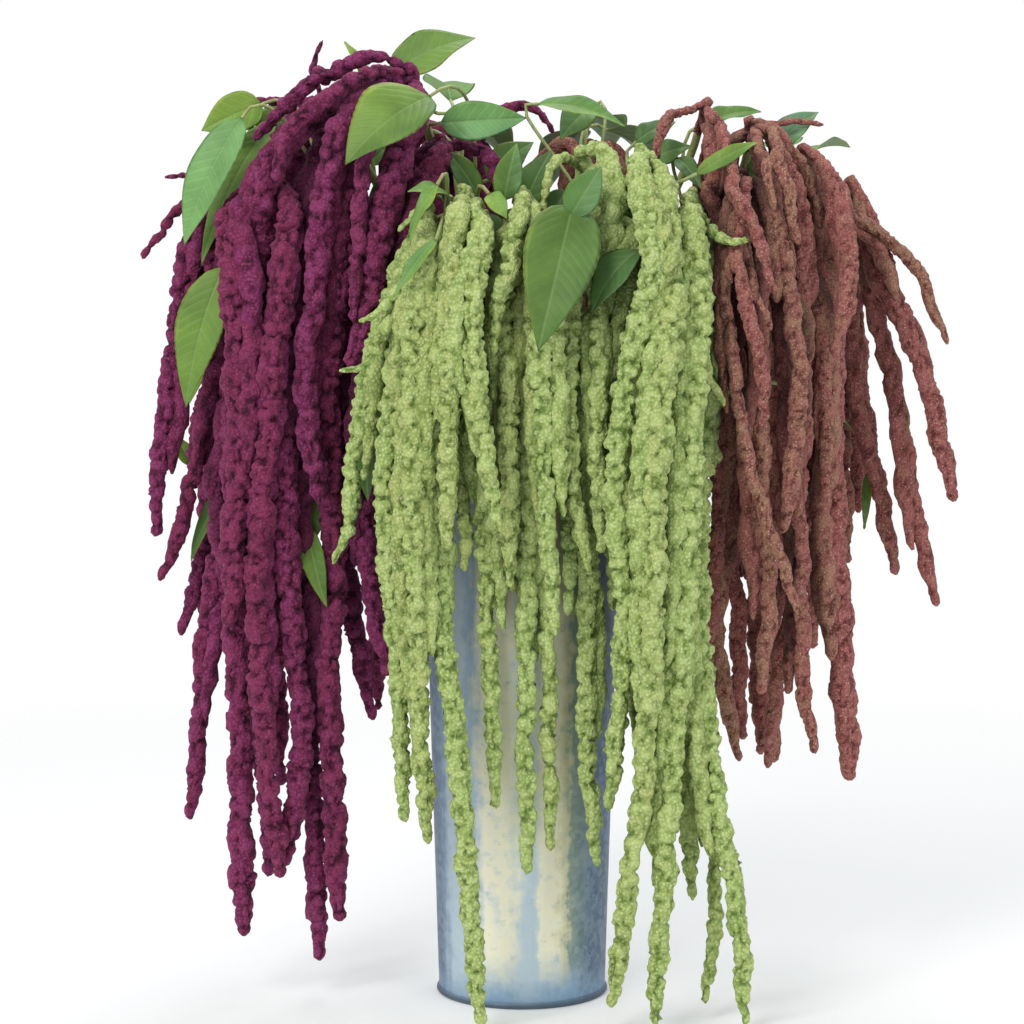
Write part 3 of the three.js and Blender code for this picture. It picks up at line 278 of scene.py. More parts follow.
# Leaves: head, base, tip, width, turn about the midrib, tint from yellow-green to blue-green, and shade,
# which is partly each leaf's own tone and partly painted light on lit leaves and painted shade on leaves in
# shadow.
leaves = [
    [0, [390, 76, -20], [476, 38, -30], 54, -10, 0.32, -0.2],
    [4, [430, 96, 78], [345, 165, 112], 74, 10, 0.25, -0.25],
    [0, [372, 86, -8], [344, 41, -6], 12, 0, 0.1, 0.1],
    [0, [441, 123, 50], [527, 118, 46], 38, 34, 0.7, 0.45],
    [3, [262, 104, 0], [201, 131, 12], 42, -20, 0.15, 0.1],
    [3, [242, 118, 44], [184, 246, 46], 44, 6, 0.66, 0.5],
    [3, [276, 118, -26], [201, 266, 30], 34, 12, 0.3, -0.05],
    [1, [308, 112, -48], [243, 140, -42], 42, -20, 0.45, -0.2],
    [2, [235, 262, -78], [185, 412, -75], 56, 8, 0.1, 0],
    [4, [362, 214, -60], [352, 398, -60], 44, -10, 0.7, -0.45],
    [10, [573, 204, 126], [538, 352, 186], 70, -6, 0.38, -0.42],
    [10, [571, 216, 134], [602, 166, 134], 34, 10, 0.6, -0.15],
    [11, [638, 250, 136], [592, 314, 142], 46, 30, 0.6, -0.45],
    [9, [504, 200, 104], [517, 143, 108], 28, 0, 0.5, -0.2],
    [7, [450, 196, 98], [407, 192, 124], 24, 24, 0.35, 0.1],
    [8, [489, 194, 116], [507, 219, 134], 20, 0, 0.25, 0.15],
    [7, [436, 240, 156], [394, 297, 178], 13, 0, 0.5, 0.2],
    [10, [538, 104, -10], [627, 128, 6], 28, -20, 0.45, 0.05],
    [13, [702, 124, -46], [762, 112, -44], 22, -10, 0.45, 0],
    [13, [697, 174, 88], [758, 142, 76], 17, 10, 0.2, -0.05],
    [15, [772, 152, -30], [819, 112, -28], 36, -12, 0.95, 0.15],
    [11, [636, 142, -30], [676, 122, -40], 26, -10, 0.6, -0.35],
    [2, [194, 466, -48], [171, 434, -50], 18, 0, 0.2, 0.1],
    [3, [308, 528, 36], [327, 608, 56], 24, 16, 0.3, -0.35],
    [2, [228, 486, -14], [191, 562, -12], 18, 10, 0.4, -0.35],
    [9, [502, 214, 4], [480, 300, 6], 46, 10, 0.5, -0.6],
    [9, [522, 226, 40], [514, 316, 60], 40, -14, 0.6, -0.6],
    [12, [677, 158, 10], [702, 190, 40], 20, 0, 0.6, -0.5],
    [16, [867, 474, -104], [864, 530, -106], 10, 0, 0.35, -0.1],
    [4, [376, 396, 70], [368, 502, 74], 34, 20, 0.6, -0.5],
    [10, [590, 108, -60], [560, 140, -40], 34, 0, 0.6, -0.3],
    [7, [437, 185, 138], [410, 243, 156], 15, 20, 0.3, 0.1],
    [1, [364, 226, -20], [374, 330, -26], 42, 0, 0.7, -0.6],
    [8, [488, 214, 60], [502, 276, 70], 28, -10, 0.6, -0.6],
]


def randomRun(seed):
    state = [seed & 0xFFFFFFFF]

    def product(a, b):
        return (a * b) & 0xFFFFFFFF

    def draw():
        a = state[0] = (state[0] + 0x6D2B79F5) & 0xFFFFFFFF
        t = product(a ^ (a >> 15), a | 1)
        t = (t + product(t ^ (t >> 7), t | 61)) ^ t
        t &= 0xFFFFFFFF
        return ((t ^ (t >> 14)) & 0xFFFFFFFF) / 4294967296

    return draw


def seen(place):
    # a point of the front view as a place in the frame
    across, down, near = place
    away = -near - eye[1]
    rise = away * math.tan(math.atan((pictureMiddle - down) / reach) - tilt)
    depth = away * math.cos(tilt) - rise * math.sin(tilt)
    return np.array([eye[0] + (across - pictureMiddle) / reach * depth, -near, eye[2] + rise])


def unit(v):
    return v / np.linalg.norm(v)


def smoothStep(x, low, high):
    t = np.clip((x - low) / (high - low), 0, 1)
    return t * t * (3 - 2 * t)


def evenly(trace, count):
    # count + 1 places an even way apart along a curve that is given as a function of 0 to 1
    ts = np.linspace(0, 1, 201)
    dense = trace(ts)
    arc = np.concatenate([[0], np.cumsum(np.linalg.norm(np.diff(dense, axis=0), axis=1))])
    return trace(np.interp(np.linspace(0, arc[-1], count + 1), arc, ts)), arc[-1]


def splineTrace(points):
    # a centripetal Catmull-Rom curve through the points
    p = np.array(points, float)
    p = np.vstack([2 * p[0] - p[1], p, 2 * p[-1] - p[-2]])
    gaps = np.maximum((np.diff(p, axis=0) ** 2).sum(1) ** 0.25, 1e-4)

    def trace(ts):
        x = np.clip(ts, 0, 1) * (len(points) - 1)
        k = np.minimum(x.astype(int), len(points) - 2)
        w = (x - k)[:, None]
        a, b, c = (gaps[k + i][:, None] for i in range(3))
        p0, p1, p2, p3 = (p[k + i] for i in range(4))
        m1 = ((p1 - p0) / a - (p2 - p0) / (a + b) + (p2 - p1) / b) * b
        m2 = ((p2 - p1) / b - (p3 - p1) / (b + c) + (p3 - p2) / c) * b
        return p1 + m1 * w + (3 * (p2 - p1) - 2 * m1 - m2) * w**2 + (2 * (p1 - p2) + m1 + m2) * w**3

    return trace


def spaced(points, step):
    trace = splineTrace(points)
    length = evenly(trace, 2)[1]
    return evenly(trace, max(2, round(length / step)))[0]


def bezierTrace(a, b, c, d):
    def trace(ts):
        t = ts[:, None]
        return (1 - t) ** 3 * a + 3 * (1 - t) ** 2 * t * b + 3 * (1 - t) * t**2 * c + t**3 * d

    return trace


def rising(x, least, start, full):
    # from a least share at the start to 1
    return least + (1 - least) * smoothStep(x, start, full)


def tasselRadius(full, along, length):
    # slim at the root and at the tip, and a little slimmer downward
    root, tip = rising(along * length, *hanging["root"]), rising((1 - along) * length, *hanging["tip"])
    return hanging["fullness"] * full * root * (1 - hanging["slimming"] * along * along) * tip


def halfUp(x):
    # the nearest whole number, as the part's source rounds it
    return math.floor(x + 0.5)


def level(angle):
    return np.array([math.cos(angle), math.sin(angle), 0])


beads = {"home": [], "radius": [], "chain": [], "order": [], "node": [], "kind": [], "fixed": []}
chains = []
followers = []


def addBeads(node, kind, points, radii, fixed, chain):
    first = len(beads["home"])
    for i, p in enumerate(points):
        beads["home"].append(p)
        beads["radius"].append(radii[i])
        beads["chain"].append(chain)
        beads["order"].append(i)
        beads["node"].append(node)
        beads["kind"].append(kind)
        beads["fixed"].append(bool(fixed(i)))
    return range(first, first + len(points))


def addChain(node, kind, points, radii, fixed):
    chains.append(addBeads(node, kind, points, radii, fixed, len(chains)))
    return chains[-1]


def fanWays(head, index):
    # tassels of a head at the back, which fan out from its rachis
    rule = backTassels
    draw = randomRun(rule["seed"] + index)
    heading, spread, count = head["fan"][:3]
    top = head["tipEnd"]
    for i in range(count):
        out = level(math.radians(heading + spread * (2 * i / (count - 1) - 1) + rule["turnDraw"] * draw()))
        away = rule["reach"] + rule["reachStep"] * (i % 2) + rule["reachDraw"] * draw()
        low = rule["low"] + rule["lowDraw"] * draw()
        steps = [  # share of the way out, and height
            (0.35, top[2] + 10), (0.85, top[2] - 28), (1, top[2] - 110),
            (1.05, 0.5 * (top[2] + low)), (1.12, low)]
        way = [np.append((top + out * away * share)[:2], height) for share, height in steps]
        yield [rule["thick"] + rule["thickDraw"] * draw(), *way]


def layRachis(head, index):
    head["end"] = seen(head["crown"])
    lean = seen(head["top"]) - head["end"]
    head["lean"] = unit(lean)
    head["tipEnd"] = head["end"] + head["lean"] * max(hanging["shortestRachis"], np.linalg.norm(lean))
    first = head["end"] + head["lean"] * hanging["rachisStart"]
    rachis = spaced([first, head["tipEnd"]], hanging["rachisStep"])
    radii = [hanging["rachisRadius"]] * len(rachis)
    head["rachis"] = addChain(2 * index + 1, "rachis", rachis, radii, lambda i: True)


def layTassels(head, index):
    if "fan" in head:
        ways = list(fanWays(head, index))
    else:
        ways = [[way[0]] + [seen(p) for p in way[1:]] for way in head["tassels"]]
    head["hung"] = []
    for i, (thick, *way) in enumerate(ways):
        share = 1 if len(ways) < 2 else 1 - hanging["rootSpread"] * i / (len(ways) - 1)
        root = head["end"] + (head["tipEnd"] - head["end"]) * share
        points = spaced([root, *way], hanging["beadStep"])
        last = len(points) - 1
        radii = [tasselRadius(thick, k / last, last * hanging["beadStep"]) for k in range(last + 1)]
        head["hung"].append(addChain(2 * index + 1, "tassel", points, radii, lambda k: k < hanging["held"]))


def layStem(head, index):
    # straight through the bucket, then on a curve to the head
    shape = stemShape
    mouth = np.array([*head["mouth"], bucketShape["height"]], float)
    foot = np.array([*[v * shape["footSpread"] for v in head["mouth"]], shape["foot"]], float)
    gap = np.linalg.norm(mouth - head["end"])
    bends = (
        mouth + unit(mouth - foot) * shape["leave"] * gap,
        head["end"] - head["lean"] * shape["arrive"] * gap)
    rise = bezierTrace(mouth, *bends, head["end"])
    straight = spaced([foot, mouth], shape["beadStep"])
    path = np.vstack([straight, evenly(rise, halfUp(gap / shape["beadStep"]))[0][1:]])
    radii = np.linspace(shape["radius"], shape["topRadius"], len(path))
    steps = halfUp(gap / shape["step"])
    start = len(straight) - 1
    head["rings"] = [0] + [start + halfUp((len(path) - len(straight)) * i / steps) for i in range(steps + 1)]
    head["stem"] = addChain(2 * index, "stem", path, radii, lambda k: k < len(straight) or k > len(path) - 3)


for index, head in enumerate(heads):
    layRachis(head, index)
    layTassels(head, index)
    layStem(head, index)


def bladePlace(leaf, s, t, width):
    # a point of a leaf: s along it, t from rim to rim, width its share of the full width there
    shape = bladeShape
    half = 0.5 * leaf["width"] * width
    side = np.where(np.asarray(t) > 0, 0, shape["sideShift"])
    wave = leaf["wave"] * np.sin(leaf["phase"] + shape["waves"] * s + side) * abs(t) * width
    lift = shape["arch"] * leaf["length"] * s * (1 - s) + leaf["fold"] * half * abs(t) + wave
    return (leaf["base"] + np.multiply.outer(leaf["length"] * s, leaf["along"])
            + np.multiply.outer(half * t, leaf["side"]) + np.multiply.outer(lift, leaf["face"]))


def turned(v, axis, angle):
    across = np.cross(axis, v)
    return v * math.cos(angle) + across * math.sin(angle) + axis * (axis @ v) * (1 - math.cos(angle))


def drawn(span, draw):
    return span[0] + span[1] * draw()


def makeLeaf(head, base, tip, width, turn, tint, shade, facing, draw):
    length = np.linalg.norm(tip - base)
    along = (tip - base) / length
    side = turned(unit(np.cross(along, facing)), along, math.radians(turn))
    return {
        "head": head, "base": base, "length": length, "width": width, "along": along, "side": side,
        "face": unit(np.cross(side, along)), "fold": drawn(bladeShape["fold"], draw),
        "wave": drawn(bladeShape["wave"], draw), "phase": bladeShape["fullTurn"] * draw(),
        "tint": tint, "shade": shade,
    }


def layLeaves():
    draw = randomRun(bladeShape["seed"])
    for head, base, tip, *look in leaves:
        yield makeLeaf(head, seen(base), seen(tip), *look, bladeShape["facing"], draw)
    rule = backLeaves
    for index, head in enumerate(heads):
        for i in range(rule["count"] if "fan" in head else 0):
            heading = head["fan"][3] + rule["start"] + rule["step"] * i + rule["stepDraw"] * draw()
            out = level(math.radians(heading))
            rise = np.array([0, 0, rule["up"] + rule["upStep"] * (i % 2)])
            base = head["tipEnd"] + out * rule["out"] + rise
            tip = base + out * (rule["reach"] + rule["reachDraw"] * draw())
            tip[2] = base[2] + rule["rise"] - rule["fallDraw"] * draw()
            width = rule["width"] + rule["widthDraw"] * draw()
            turn = rule["turnDraw"] * draw() - 0.5 * rule["turnDraw"]
            tint = rule["tint"] + rule["tintStep"] * i
            yield makeLeaf(index, base, tip, width, turn, tint, 0, rule["facing"], draw)


def stalkWay(start, leaf, least):
    # places along a stalk that leaves its stem upward and reaches the leaf along its midrib
    span = np.linalg.norm(start - leaf["base"])
    bends = (
        start + np.array([0, 0, stalkShape["leave"] * span]),
        leaf["base"] - leaf["along"] * stalkShape["arrive"] * span)
    return evenly(bezierTrace(start, *bends, leaf["base"]), max(least, halfUp(span / stalkShape["step"])))[0]


def layStalk(leaf):
    # the stalk joins the stem below the leaf, and the tassels keep clear of the blade
    head = heads[leaf["head"]]
    stem, rings = head["stem"], head["rings"]
    k = len(rings) - 2
    while k > 2 and beads["home"][stem[rings[k]]][2] > leaf["base"][2] + stalkShape["below"]:
        k -= 1
    joint = stem[rings[k]]
    path = stalkWay(beads["home"][joint], leaf, 2)
    radii = [stalkShape["radius"] + stalkShape["spare"]] * len(path)
    leaf["stalk"] = addChain(2 * leaf["head"], "stalk", path, radii, lambda i: i in (0, len(path) - 1))
    followers.append((leaf["stalk"][0], joint))
    rows = max(3, halfUp(leaf["length"] / bladeShape["step"]))
    for s in np.arange(1, rows) / rows:
        width = np.interp(s, *bladeShape["stops"])
        columns = max(1, halfUp(0.5 * leaf["width"] * width / bladeShape["step"]))
        points = [bladePlace(leaf, s, j / columns, width) for j in range(-columns, columns + 1)]
        radii = [bladeShape["beadRadius"]] * len(points)
        addBeads(2 * leaf["head"], "blade", points, radii, lambda i: True, -1)


blades = list(layLeaves())
for leaf in blades:
    layStalk(leaf)


def bucketRadius(z):
    base, rim = bucketShape["baseRadius"], bucketShape["rimRadius"]
    return base + (rim - base) * z / bucketShape["height"]


def neighbours(at, askers, cell):
    # index pairs of beads in the same or touching cells of a cubic grid
    side = 1024  # more cells than the bunch has in any direction
    place = np.floor(at / cell).astype(np.int64) + side // 2
    name = (place[:, 0] * side + place[:, 1]) * side + place[:, 2]
    order = np.argsort(name, kind="stable")
    names = name[order]
    for dx in (-1, 0, 1):
        for dy in (-1, 0, 1):
            for dz in (-1, 0, 1):
                wanted = name[askers] + (dx * side + dy) * side + dz
                low = np.searchsorted(names, wanted, "left")
                count = np.searchsorted(names, wanted, "right") - low
                total = count.sum()
                if total:
                    skip = np.repeat(np.cumsum(count) - count, count)
                    yield np.repeat(askers, count), order[np.repeat(low, count) + np.arange(total) - skip]


def loosen():
    # pushes the beads apart until the tassels lie beside each other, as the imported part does
    home = np.array(beads["home"])
    radius, chain, order, node = (np.array(beads[k]) for k in ("radius", "chain", "order", "node"))
    fixed, kind = np.array(beads["fixed"]), np.array(beads["kind"])
    at, shift = home.copy(), np.zeros_like(home)
    free = np.flatnonzero(~fixed)
    before, after = np.arange(len(home)) - 1, np.arange(len(home)) + 1
    ends = [c[-1] for c in chains]
    after[ends] = ends
    chained = free[(chain[free] >= 0) & (order[free] > 0)]
    walled = free[kind[free] != "stem"]
    follower, followed = np.array(followers).T
    rule, slack, high = hanging, hanging["slack"], bucketShape["height"]

    def closePairs():
        # pairs that may come to touch before the next refresh, and how far apart they have to be
        found = []
        for i, j in neighbours(at, free, rule["cell"]):
            near = (fixed[j] | (j > i)) & (chain[i] != chain[j])
            i, j = i[near], j[near]
            same = node[i] == node[j]
            keep = ~same | ((node[i] % 2 == 1) & (np.minimum(order[i], order[j]) >= rule["loose"]))
            i, j, same = i[keep], j[keep], same[keep]
            need = (radius[i] + radius[j] + slack) * np.where(same, rule["sameHead"], 1)
            close = ((at[i] - at[j]) ** 2).sum(1) < (need + rule["lookAhead"]) ** 2
            found.append((i[close], j[close], need[close]))
        return [np.concatenate(part) for part in zip(*found)]

    def gather(index, values):
        return np.stack([np.bincount(index, values[:, k], len(home)) for k in range(3)], 1)

    for turn in range(rule["rounds"]):
        if turn % rule["refresh"] == 0:
            first, second, need = closePairs()
        gap = at[first] - at[second]
        far = np.linalg.norm(gap, axis=1)
        hit = (far < need) & (far > 0)
        i, j = first[hit], second[hit]
        part = gap[hit] * ((need[hit] - far[hit]) / far[hit])[:, None]
        push = gather(i, part * np.where(fixed[j], 1, 0.5)[:, None]) - gather(j, part * 0.5)
        count = np.bincount(i, minlength=len(home)) + np.bincount(j, minlength=len(home))
        shift[free] += push[free] / (1 + rule["crowd"] * np.maximum(count[free] - 1, 0))[:, None]
        keep = rule["smooth"] * (1 - turn / rule["rounds"]) + rule["leastSmooth"]
        for _ in range(rule["smoothings"]):
            mean = 0.5 * (shift[before[chained]] + shift[after[chained]])
            shift[chained] += (mean - shift[chained]) * keep
        at[free] = home[free] + shift[free]
        low = at[walled, 2]
        wide = np.hypot(at[walled, 0], at[walled, 1])
        beaded = (low > high - bucketShape["rimZone"]) | (low < bucketShape["footZone"])
        limit = np.where(beaded, bucketShape["rimBead"], bucketRadius(low)) + radius[walled] + slack
        inside = (low < high + bucketShape["overRim"]) & (wide < limit)
        at[walled[inside], :2] *= (limit / np.maximum(wide, 1e-6))[inside, None]
        at[free, 2] = np.maximum(at[free, 2], radius[free] + rule["offFloor"])
        shift[free] = at[free] - home[free]
        at[follower], shift[follower] = at[followed], shift[followed]
    return at


beadAt = loosen()
beadRadius = np.array(beads["radius"])
print("bunch laid out:", len(beadAt), "beads")


class Wire:
    # a node's output that can stand in sums and products
    def __init__(self, nodes, socket):
        self.nodes, self.socket = nodes, socket

    def __add__(self, other):
        return self.nodes.math("ADD", self, other)

    def __sub__(self, other):
        return self.nodes.math("SUBTRACT", self, other)

    def __rsub__(self, other):
        return self.nodes.math("SUBTRACT", other, self)

    def __mul__(self, other):
        return self.nodes.math("MULTIPLY", self, other)

    def __truediv__(self, other):
        return self.nodes.math("DIVIDE", self, other)

    def __rtruediv__(self, other):
        return self.nodes.math("DIVIDE", other, self)

    def __abs__(self):
        return self.nodes.math("ABSOLUTE", self)

    __radd__, __rmul__ = __add__, __mul__

    def other(self, name):
        return Wire(self.nodes, self.socket.node.outputs[name])


class Nodes:
    # a node tree that is written as expressions
    def __init__(self, tree):
        self.tree = tree
        tree.nodes.clear()

    def make(self, kind, settings=None, inputs=None, output=0):
        # a node with its settings, its inputs by name or number, and the output that is wanted of it
        node = self.tree.nodes.new(kind)
        for name, value in (settings or {}).items():
            if name == "stops":
                self.setStops(node.color_ramp, value)
            else:
                setattr(node, name, value)
        live = [s for s in node.inputs if s.enabled]
        for name, value in (inputs or {}).items():
            socket = live[name] if isinstance(name, int) else next(s for s in live if s.name == name)
            for part in value if isinstance(value, list) else [value]:
                if isinstance(part, Wire):
                    self.tree.links.new(part.socket, socket)
                else:
                    socket.default_value = part
        outs = [s for s in node.outputs if s.enabled]
        return Wire(self, outs[output] if isinstance(output, int) else node.outputs[output]) if outs else node

    def setStops(self, ramp, stops):
        while len(ramp.elements) < len(stops):
            ramp.elements.new(1)
        for element, (place, colour) in zip(ramp.elements, stops):
            element.position, element.color = place, (*colour, 1)

    def math(self, operation, *values):
        return self.make("ShaderNodeMath", {"operation": operation}, dict(enumerate(values)))

    def mix(self, factor, first, second):
        pair = [v if isinstance(v, Wire) else (*v, 1) for v in (first, second)]
        return self.make("ShaderNodeMix", {"data_type": "RGBA"}, {0: factor, 1: pair[0], 2: pair[1]})

    def vector(self, operation, first, second=None, output=0):
        inputs = {0: first} if second is None else {0: first, 1: second}
        return self.make("ShaderNodeVectorMath", {"operation": operation}, inputs, output)

    def scaled(self, vector, share):
        return self.make("ShaderNodeVectorMath", {"operation": "SCALE"}, {"Vector": vector, "Scale": share})

    def bump(self, strength, distance, height):
        inputs = {"Strength": strength, "Distance": distance, "Height": height}
        return self.make("ShaderNodeBump", {}, inputs)

    def cells(self, place, size, randomness=1.0):
        inputs = {"Vector": place, "Scale": 1 / size, "Randomness": randomness}
        return self.make("ShaderNodeTexVoronoi", {"feature": "F1"}, inputs)

    def red(self, colour):
        return self.make("ShaderNodeSeparateColor", {}, {"Color": colour}, "Red")

    def squeezed(self, place, share):
        # the place with its heights shortened, which draws patterns out upward
        settings = {"vector_type": "POINT"}
        return self.make("ShaderNodeMapping", settings, {"Vector": place, "Scale": (1, 1, share)})

    def span(self, value, low, high, start=0.0, end=1.0, how="LINEAR"):
        ends = {0: value, 1: low, 2: high, 3: start, 4: end}
        return self.make("ShaderNodeMapRange", {"interpolation_type": how}, ends)

    def noise(self, place, size, detail=2.0, rough=0.5, output=0):
        inputs = {"Vector": place, "Scale": 1 / size, "Detail": detail, "Roughness": rough}
        return self.make("ShaderNodeTexNoise", {}, inputs, output)

    def named(self, name):
        if self.tree.type == "GEOMETRY":
            return self.make("GeometryNodeInputNamedAttribute", {"data_type": "FLOAT"}, {"Name": name})
        return self.make("ShaderNodeAttribute", {"attribute_name": name}, {}, "Fac")


def startFinish(name):
    material = bpy.data.materials.new(name)
    material.use_nodes = True
    nodes = Nodes(material.node_tree)
    return material, nodes, nodes.make("ShaderNodeTexCoord", {}, {}, "Object")


def endFinish(nodes, inputs, fixed):
    shader = nodes.make("ShaderNodeBsdfPrincipled", {}, {**fixed, **inputs})
    nodes.make("ShaderNodeOutputMaterial", {}, {"Surface": shader})


def openTree(name, sockets):
    # an empty Geometry Nodes tree with named inputs
    tree = bpy.data.node_groups.new(name, "GeometryNodeTree")
    for label, kind in sockets.items():
        tree.interface.new_socket(label, in_out="INPUT", socket_type="NodeSocket" + kind)
    tree.interface.new_socket("Geometry", in_out="OUTPUT", socket_type="NodeSocketGeometry")
    nodes = Nodes(tree)
    first = nodes.make("NodeGroupInput")
    return tree, nodes, {label: first.other(label) for label in sockets}


def lineTube(nodes, given, step, scale, moved=None):
    # a round tube along the line, with a ring at every step; moved may shift the line first
    line = nodes.make("GeometryNodeMeshToCurve", {}, {"Mesh": given["Geometry"]})
    line = nodes.make("GeometryNodeCurveSplineType", {"spline_type": "CATMULL_ROM"}, {"Curve": line})
    line = nodes.make("GeometryNodeResampleCurve", {"mode": "LENGTH"}, {"Curve": line, "Length": given[step]})
    if moved:
        line = nodes.make("GeometryNodeSetPosition", {}, {"Geometry": line, "Offset": moved})
    ring = nodes.make("GeometryNodeCurvePrimitiveCircle", {}, {"Resolution": given["Sides"], "Radius": 1.0})
    inputs = {"Curve": line, "Profile Curve": ring, "Scale": scale, "Fill Caps": True}
    return nodes.make("GeometryNodeCurveToMesh", {}, inputs)


def endTree(nodes, tube, finish):
    # the tube made smooth and real, with its finish
    tube = nodes.make("GeometryNodeSetShadeSmooth", {}, {"Geometry": tube, "Shade Smooth": True})
    tube = nodes.make("GeometryNodeRealizeInstances", {}, {"Geometry": tube})
    tube = nodes.make("GeometryNodeSetMaterial", {}, {"Geometry": tube, "Material": finish})
    nodes.make("NodeGroupOutput", {}, {"Geometry": tube})


def grown(source, tree, values):
    # what the tree makes of the source, as a plain mesh; the source itself is dropped
    modifier = source.modifiers.new(tree.name, "NODES")
    modifier.node_group = tree
    for item in tree.interface.items_tree:
        if item.in_out == "INPUT" and item.name in values:
            modifier[item.identifier] = values[item.name]
    bpy.context.view_layer.update()
    settled = source.evaluated_get(bpy.context.evaluated_depsgraph_get())
    mesh = bpy.data.meshes.new_from_object(settled)
    source.modifiers.clear()
    bpy.data.objects.remove(source)
    return mesh


def standing(name, mesh):
    piece = bpy.data.objects.new(name, mesh)
    bpy.context.collection.objects.link(piece)
    return piece


def plainMesh(name, places, faces):
    mesh = bpy.data.meshes.new(name)
    mesh.from_pydata([tuple(p) for p in places], [], faces)
    return mesh


def plainLine(points, radii):
    # a line through points in millimetres, with the radius at each
    mesh = bpy.data.meshes.new("line")
    mesh.from_pydata([tuple(p) for p in points * mm], [(i, i + 1) for i in range(len(points) - 1)], [])
    giveNumbers(mesh, thick=radii * mm)
    return mesh


def giveNumbers(mesh, **values):
    for name, numbers in values.items():
        field = mesh.attributes.new(name, "FLOAT", "POINT")
        field.data.foreach_set("value", np.asarray(numbers, np.float32))


def smoothed(mesh):
    mesh.polygons.foreach_set("use_smooth", [True] * len(mesh.polygons))
    return mesh


def handIn(piece, slot, *nodes):
    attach(piece, "root")
    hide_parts(*nodes)
    count = sum(len(p.vertices) - 2 for p in piece.data.polygons)
    print(piece.name + ":", count, "triangles")
    return count


# Bucket and water
zinc = {
    "recess": 1.2, "recessEdge": 6, "footFlat": 4, "footLift": 0.2, "corner": 1.5,
    "outerRings": 12, "innerRings": 6, "footSteps": 9, "rimSteps": 13,
    # colours
    "foot": (0.035, 0.05, 0.07), "blue": (0.22, 0.365, 0.53), "pale": (0.55, 0.655, 0.70),
    "creamReflection": (0.90, 0.86, 0.64), "shade": (0.060, 0.105, 0.170), "green": (0.23, 0.30, 0.22),
    "ochre": (0.72, 0.66, 0.38), "glint": (0.62, 0.72, 0.80),
    # upright bands: middle and half width in degrees, 0 in front and rising to the right, and strength
    "paleBands": [(-48, 16), (4, 12), (118, 30), (-128, 34)],
    # the cream bands are painted reflections of warm light in the metal
    "creamReflectionBands": [(-16, 20), (18, 14), (96, 14), (150, 18), (-150, 12)],
    "greenBands": [(37, 17), (132, 16), (-110, 12)],
    # the shade bands are painted shade on the sides turned from the light
    "paintedShadeBands": [(72, 42), (-88, 38), (172, 16, 0.7)],
    "creamReflectionGap": (4, 9), "ochreBand": (27, 6), "softEdge": 0.35,
    # sizes of the patterns, and heights between which the colours change, in metres
    "streakWidth": 0.010, "streakLength": 0.16, "blotchSize": 0.018, "grainSize": 0.0022,
    "spangleSize": 0.006, "lowZone": (0.012, 0.055), "gapZone": (0.17, 0.09),
    "footZone": (0.03, 0.012), "beadZone": (0.0075, 0.004), "shadedTopZone": (0.34, 0.46),
}
pond = {"top": 330.0, "gap": 1.3, "offFloor": 0.3, "rings": 8, "sides": 96, "colour": (0.16, 0.21, 0.20)}


def turnedShell(name, profile, sides):
    # a closed turned form; the profile starts and ends on the axis
    angles = 2 * math.pi * np.arange(sides) / sides
    places = []
    for r, z in profile[1:-1]:
        places += [(r * mm * math.cos(a), r * mm * math.sin(a), z * mm) for a in angles]
    top = len(places) - sides
    places += [(0, 0, z * mm) for r, z in (profile[0], profile[-1])]
    first, last = len(places) - 2, len(places) - 1
    faces = []
    for k in range(sides):
        n = (k + 1) % sides
        faces.append((n, k, first))
        faces += [(low + k, low + n, low + sides + n, low + sides + k) for low in range(0, top, sides)]
        faces.append((top + k, top + n, last))
    return smoothed(plainMesh(name, places, faces))


def rounded(centre, radius, start, end, steps):
    angles = np.radians(np.linspace(start, end, steps))
    return [(centre[0] + radius * math.cos(a), centre[1] + radius * math.sin(a)) for a in angles]


def bucketProfile():
    shape, base, floor = bucketShape, bucketShape["baseRadius"], bucketShape["floorThick"]
    height, wall = shape["height"], shape["wall"]
    bead = 0.5 * shape["footBeadHeight"]
    roll = 0.5 * shape["rimBeadHeight"]
    rise = np.linspace(shape["footBeadHeight"] + 1, height - 2 * roll - 0.5, zinc["outerRings"])
    fall = np.linspace(height - roll, floor + zinc["corner"], zinc["innerRings"])
    return [
        (0, zinc["recess"]), (base - zinc["recessEdge"], zinc["recess"]),
        (base - zinc["footFlat"], zinc["footLift"]),
        *rounded((shape["footBead"] - bead, bead), bead, -90, 90, zinc["footSteps"]),
        *[(bucketRadius(z), z) for z in rise],
        *rounded((shape["rimBead"] - roll, height - roll), roll, -80, 110, zinc["rimSteps"]),
        *[(bucketRadius(z) - wall, z) for z in fall],
        (base - wall - zinc["corner"], floor), (0, floor)]


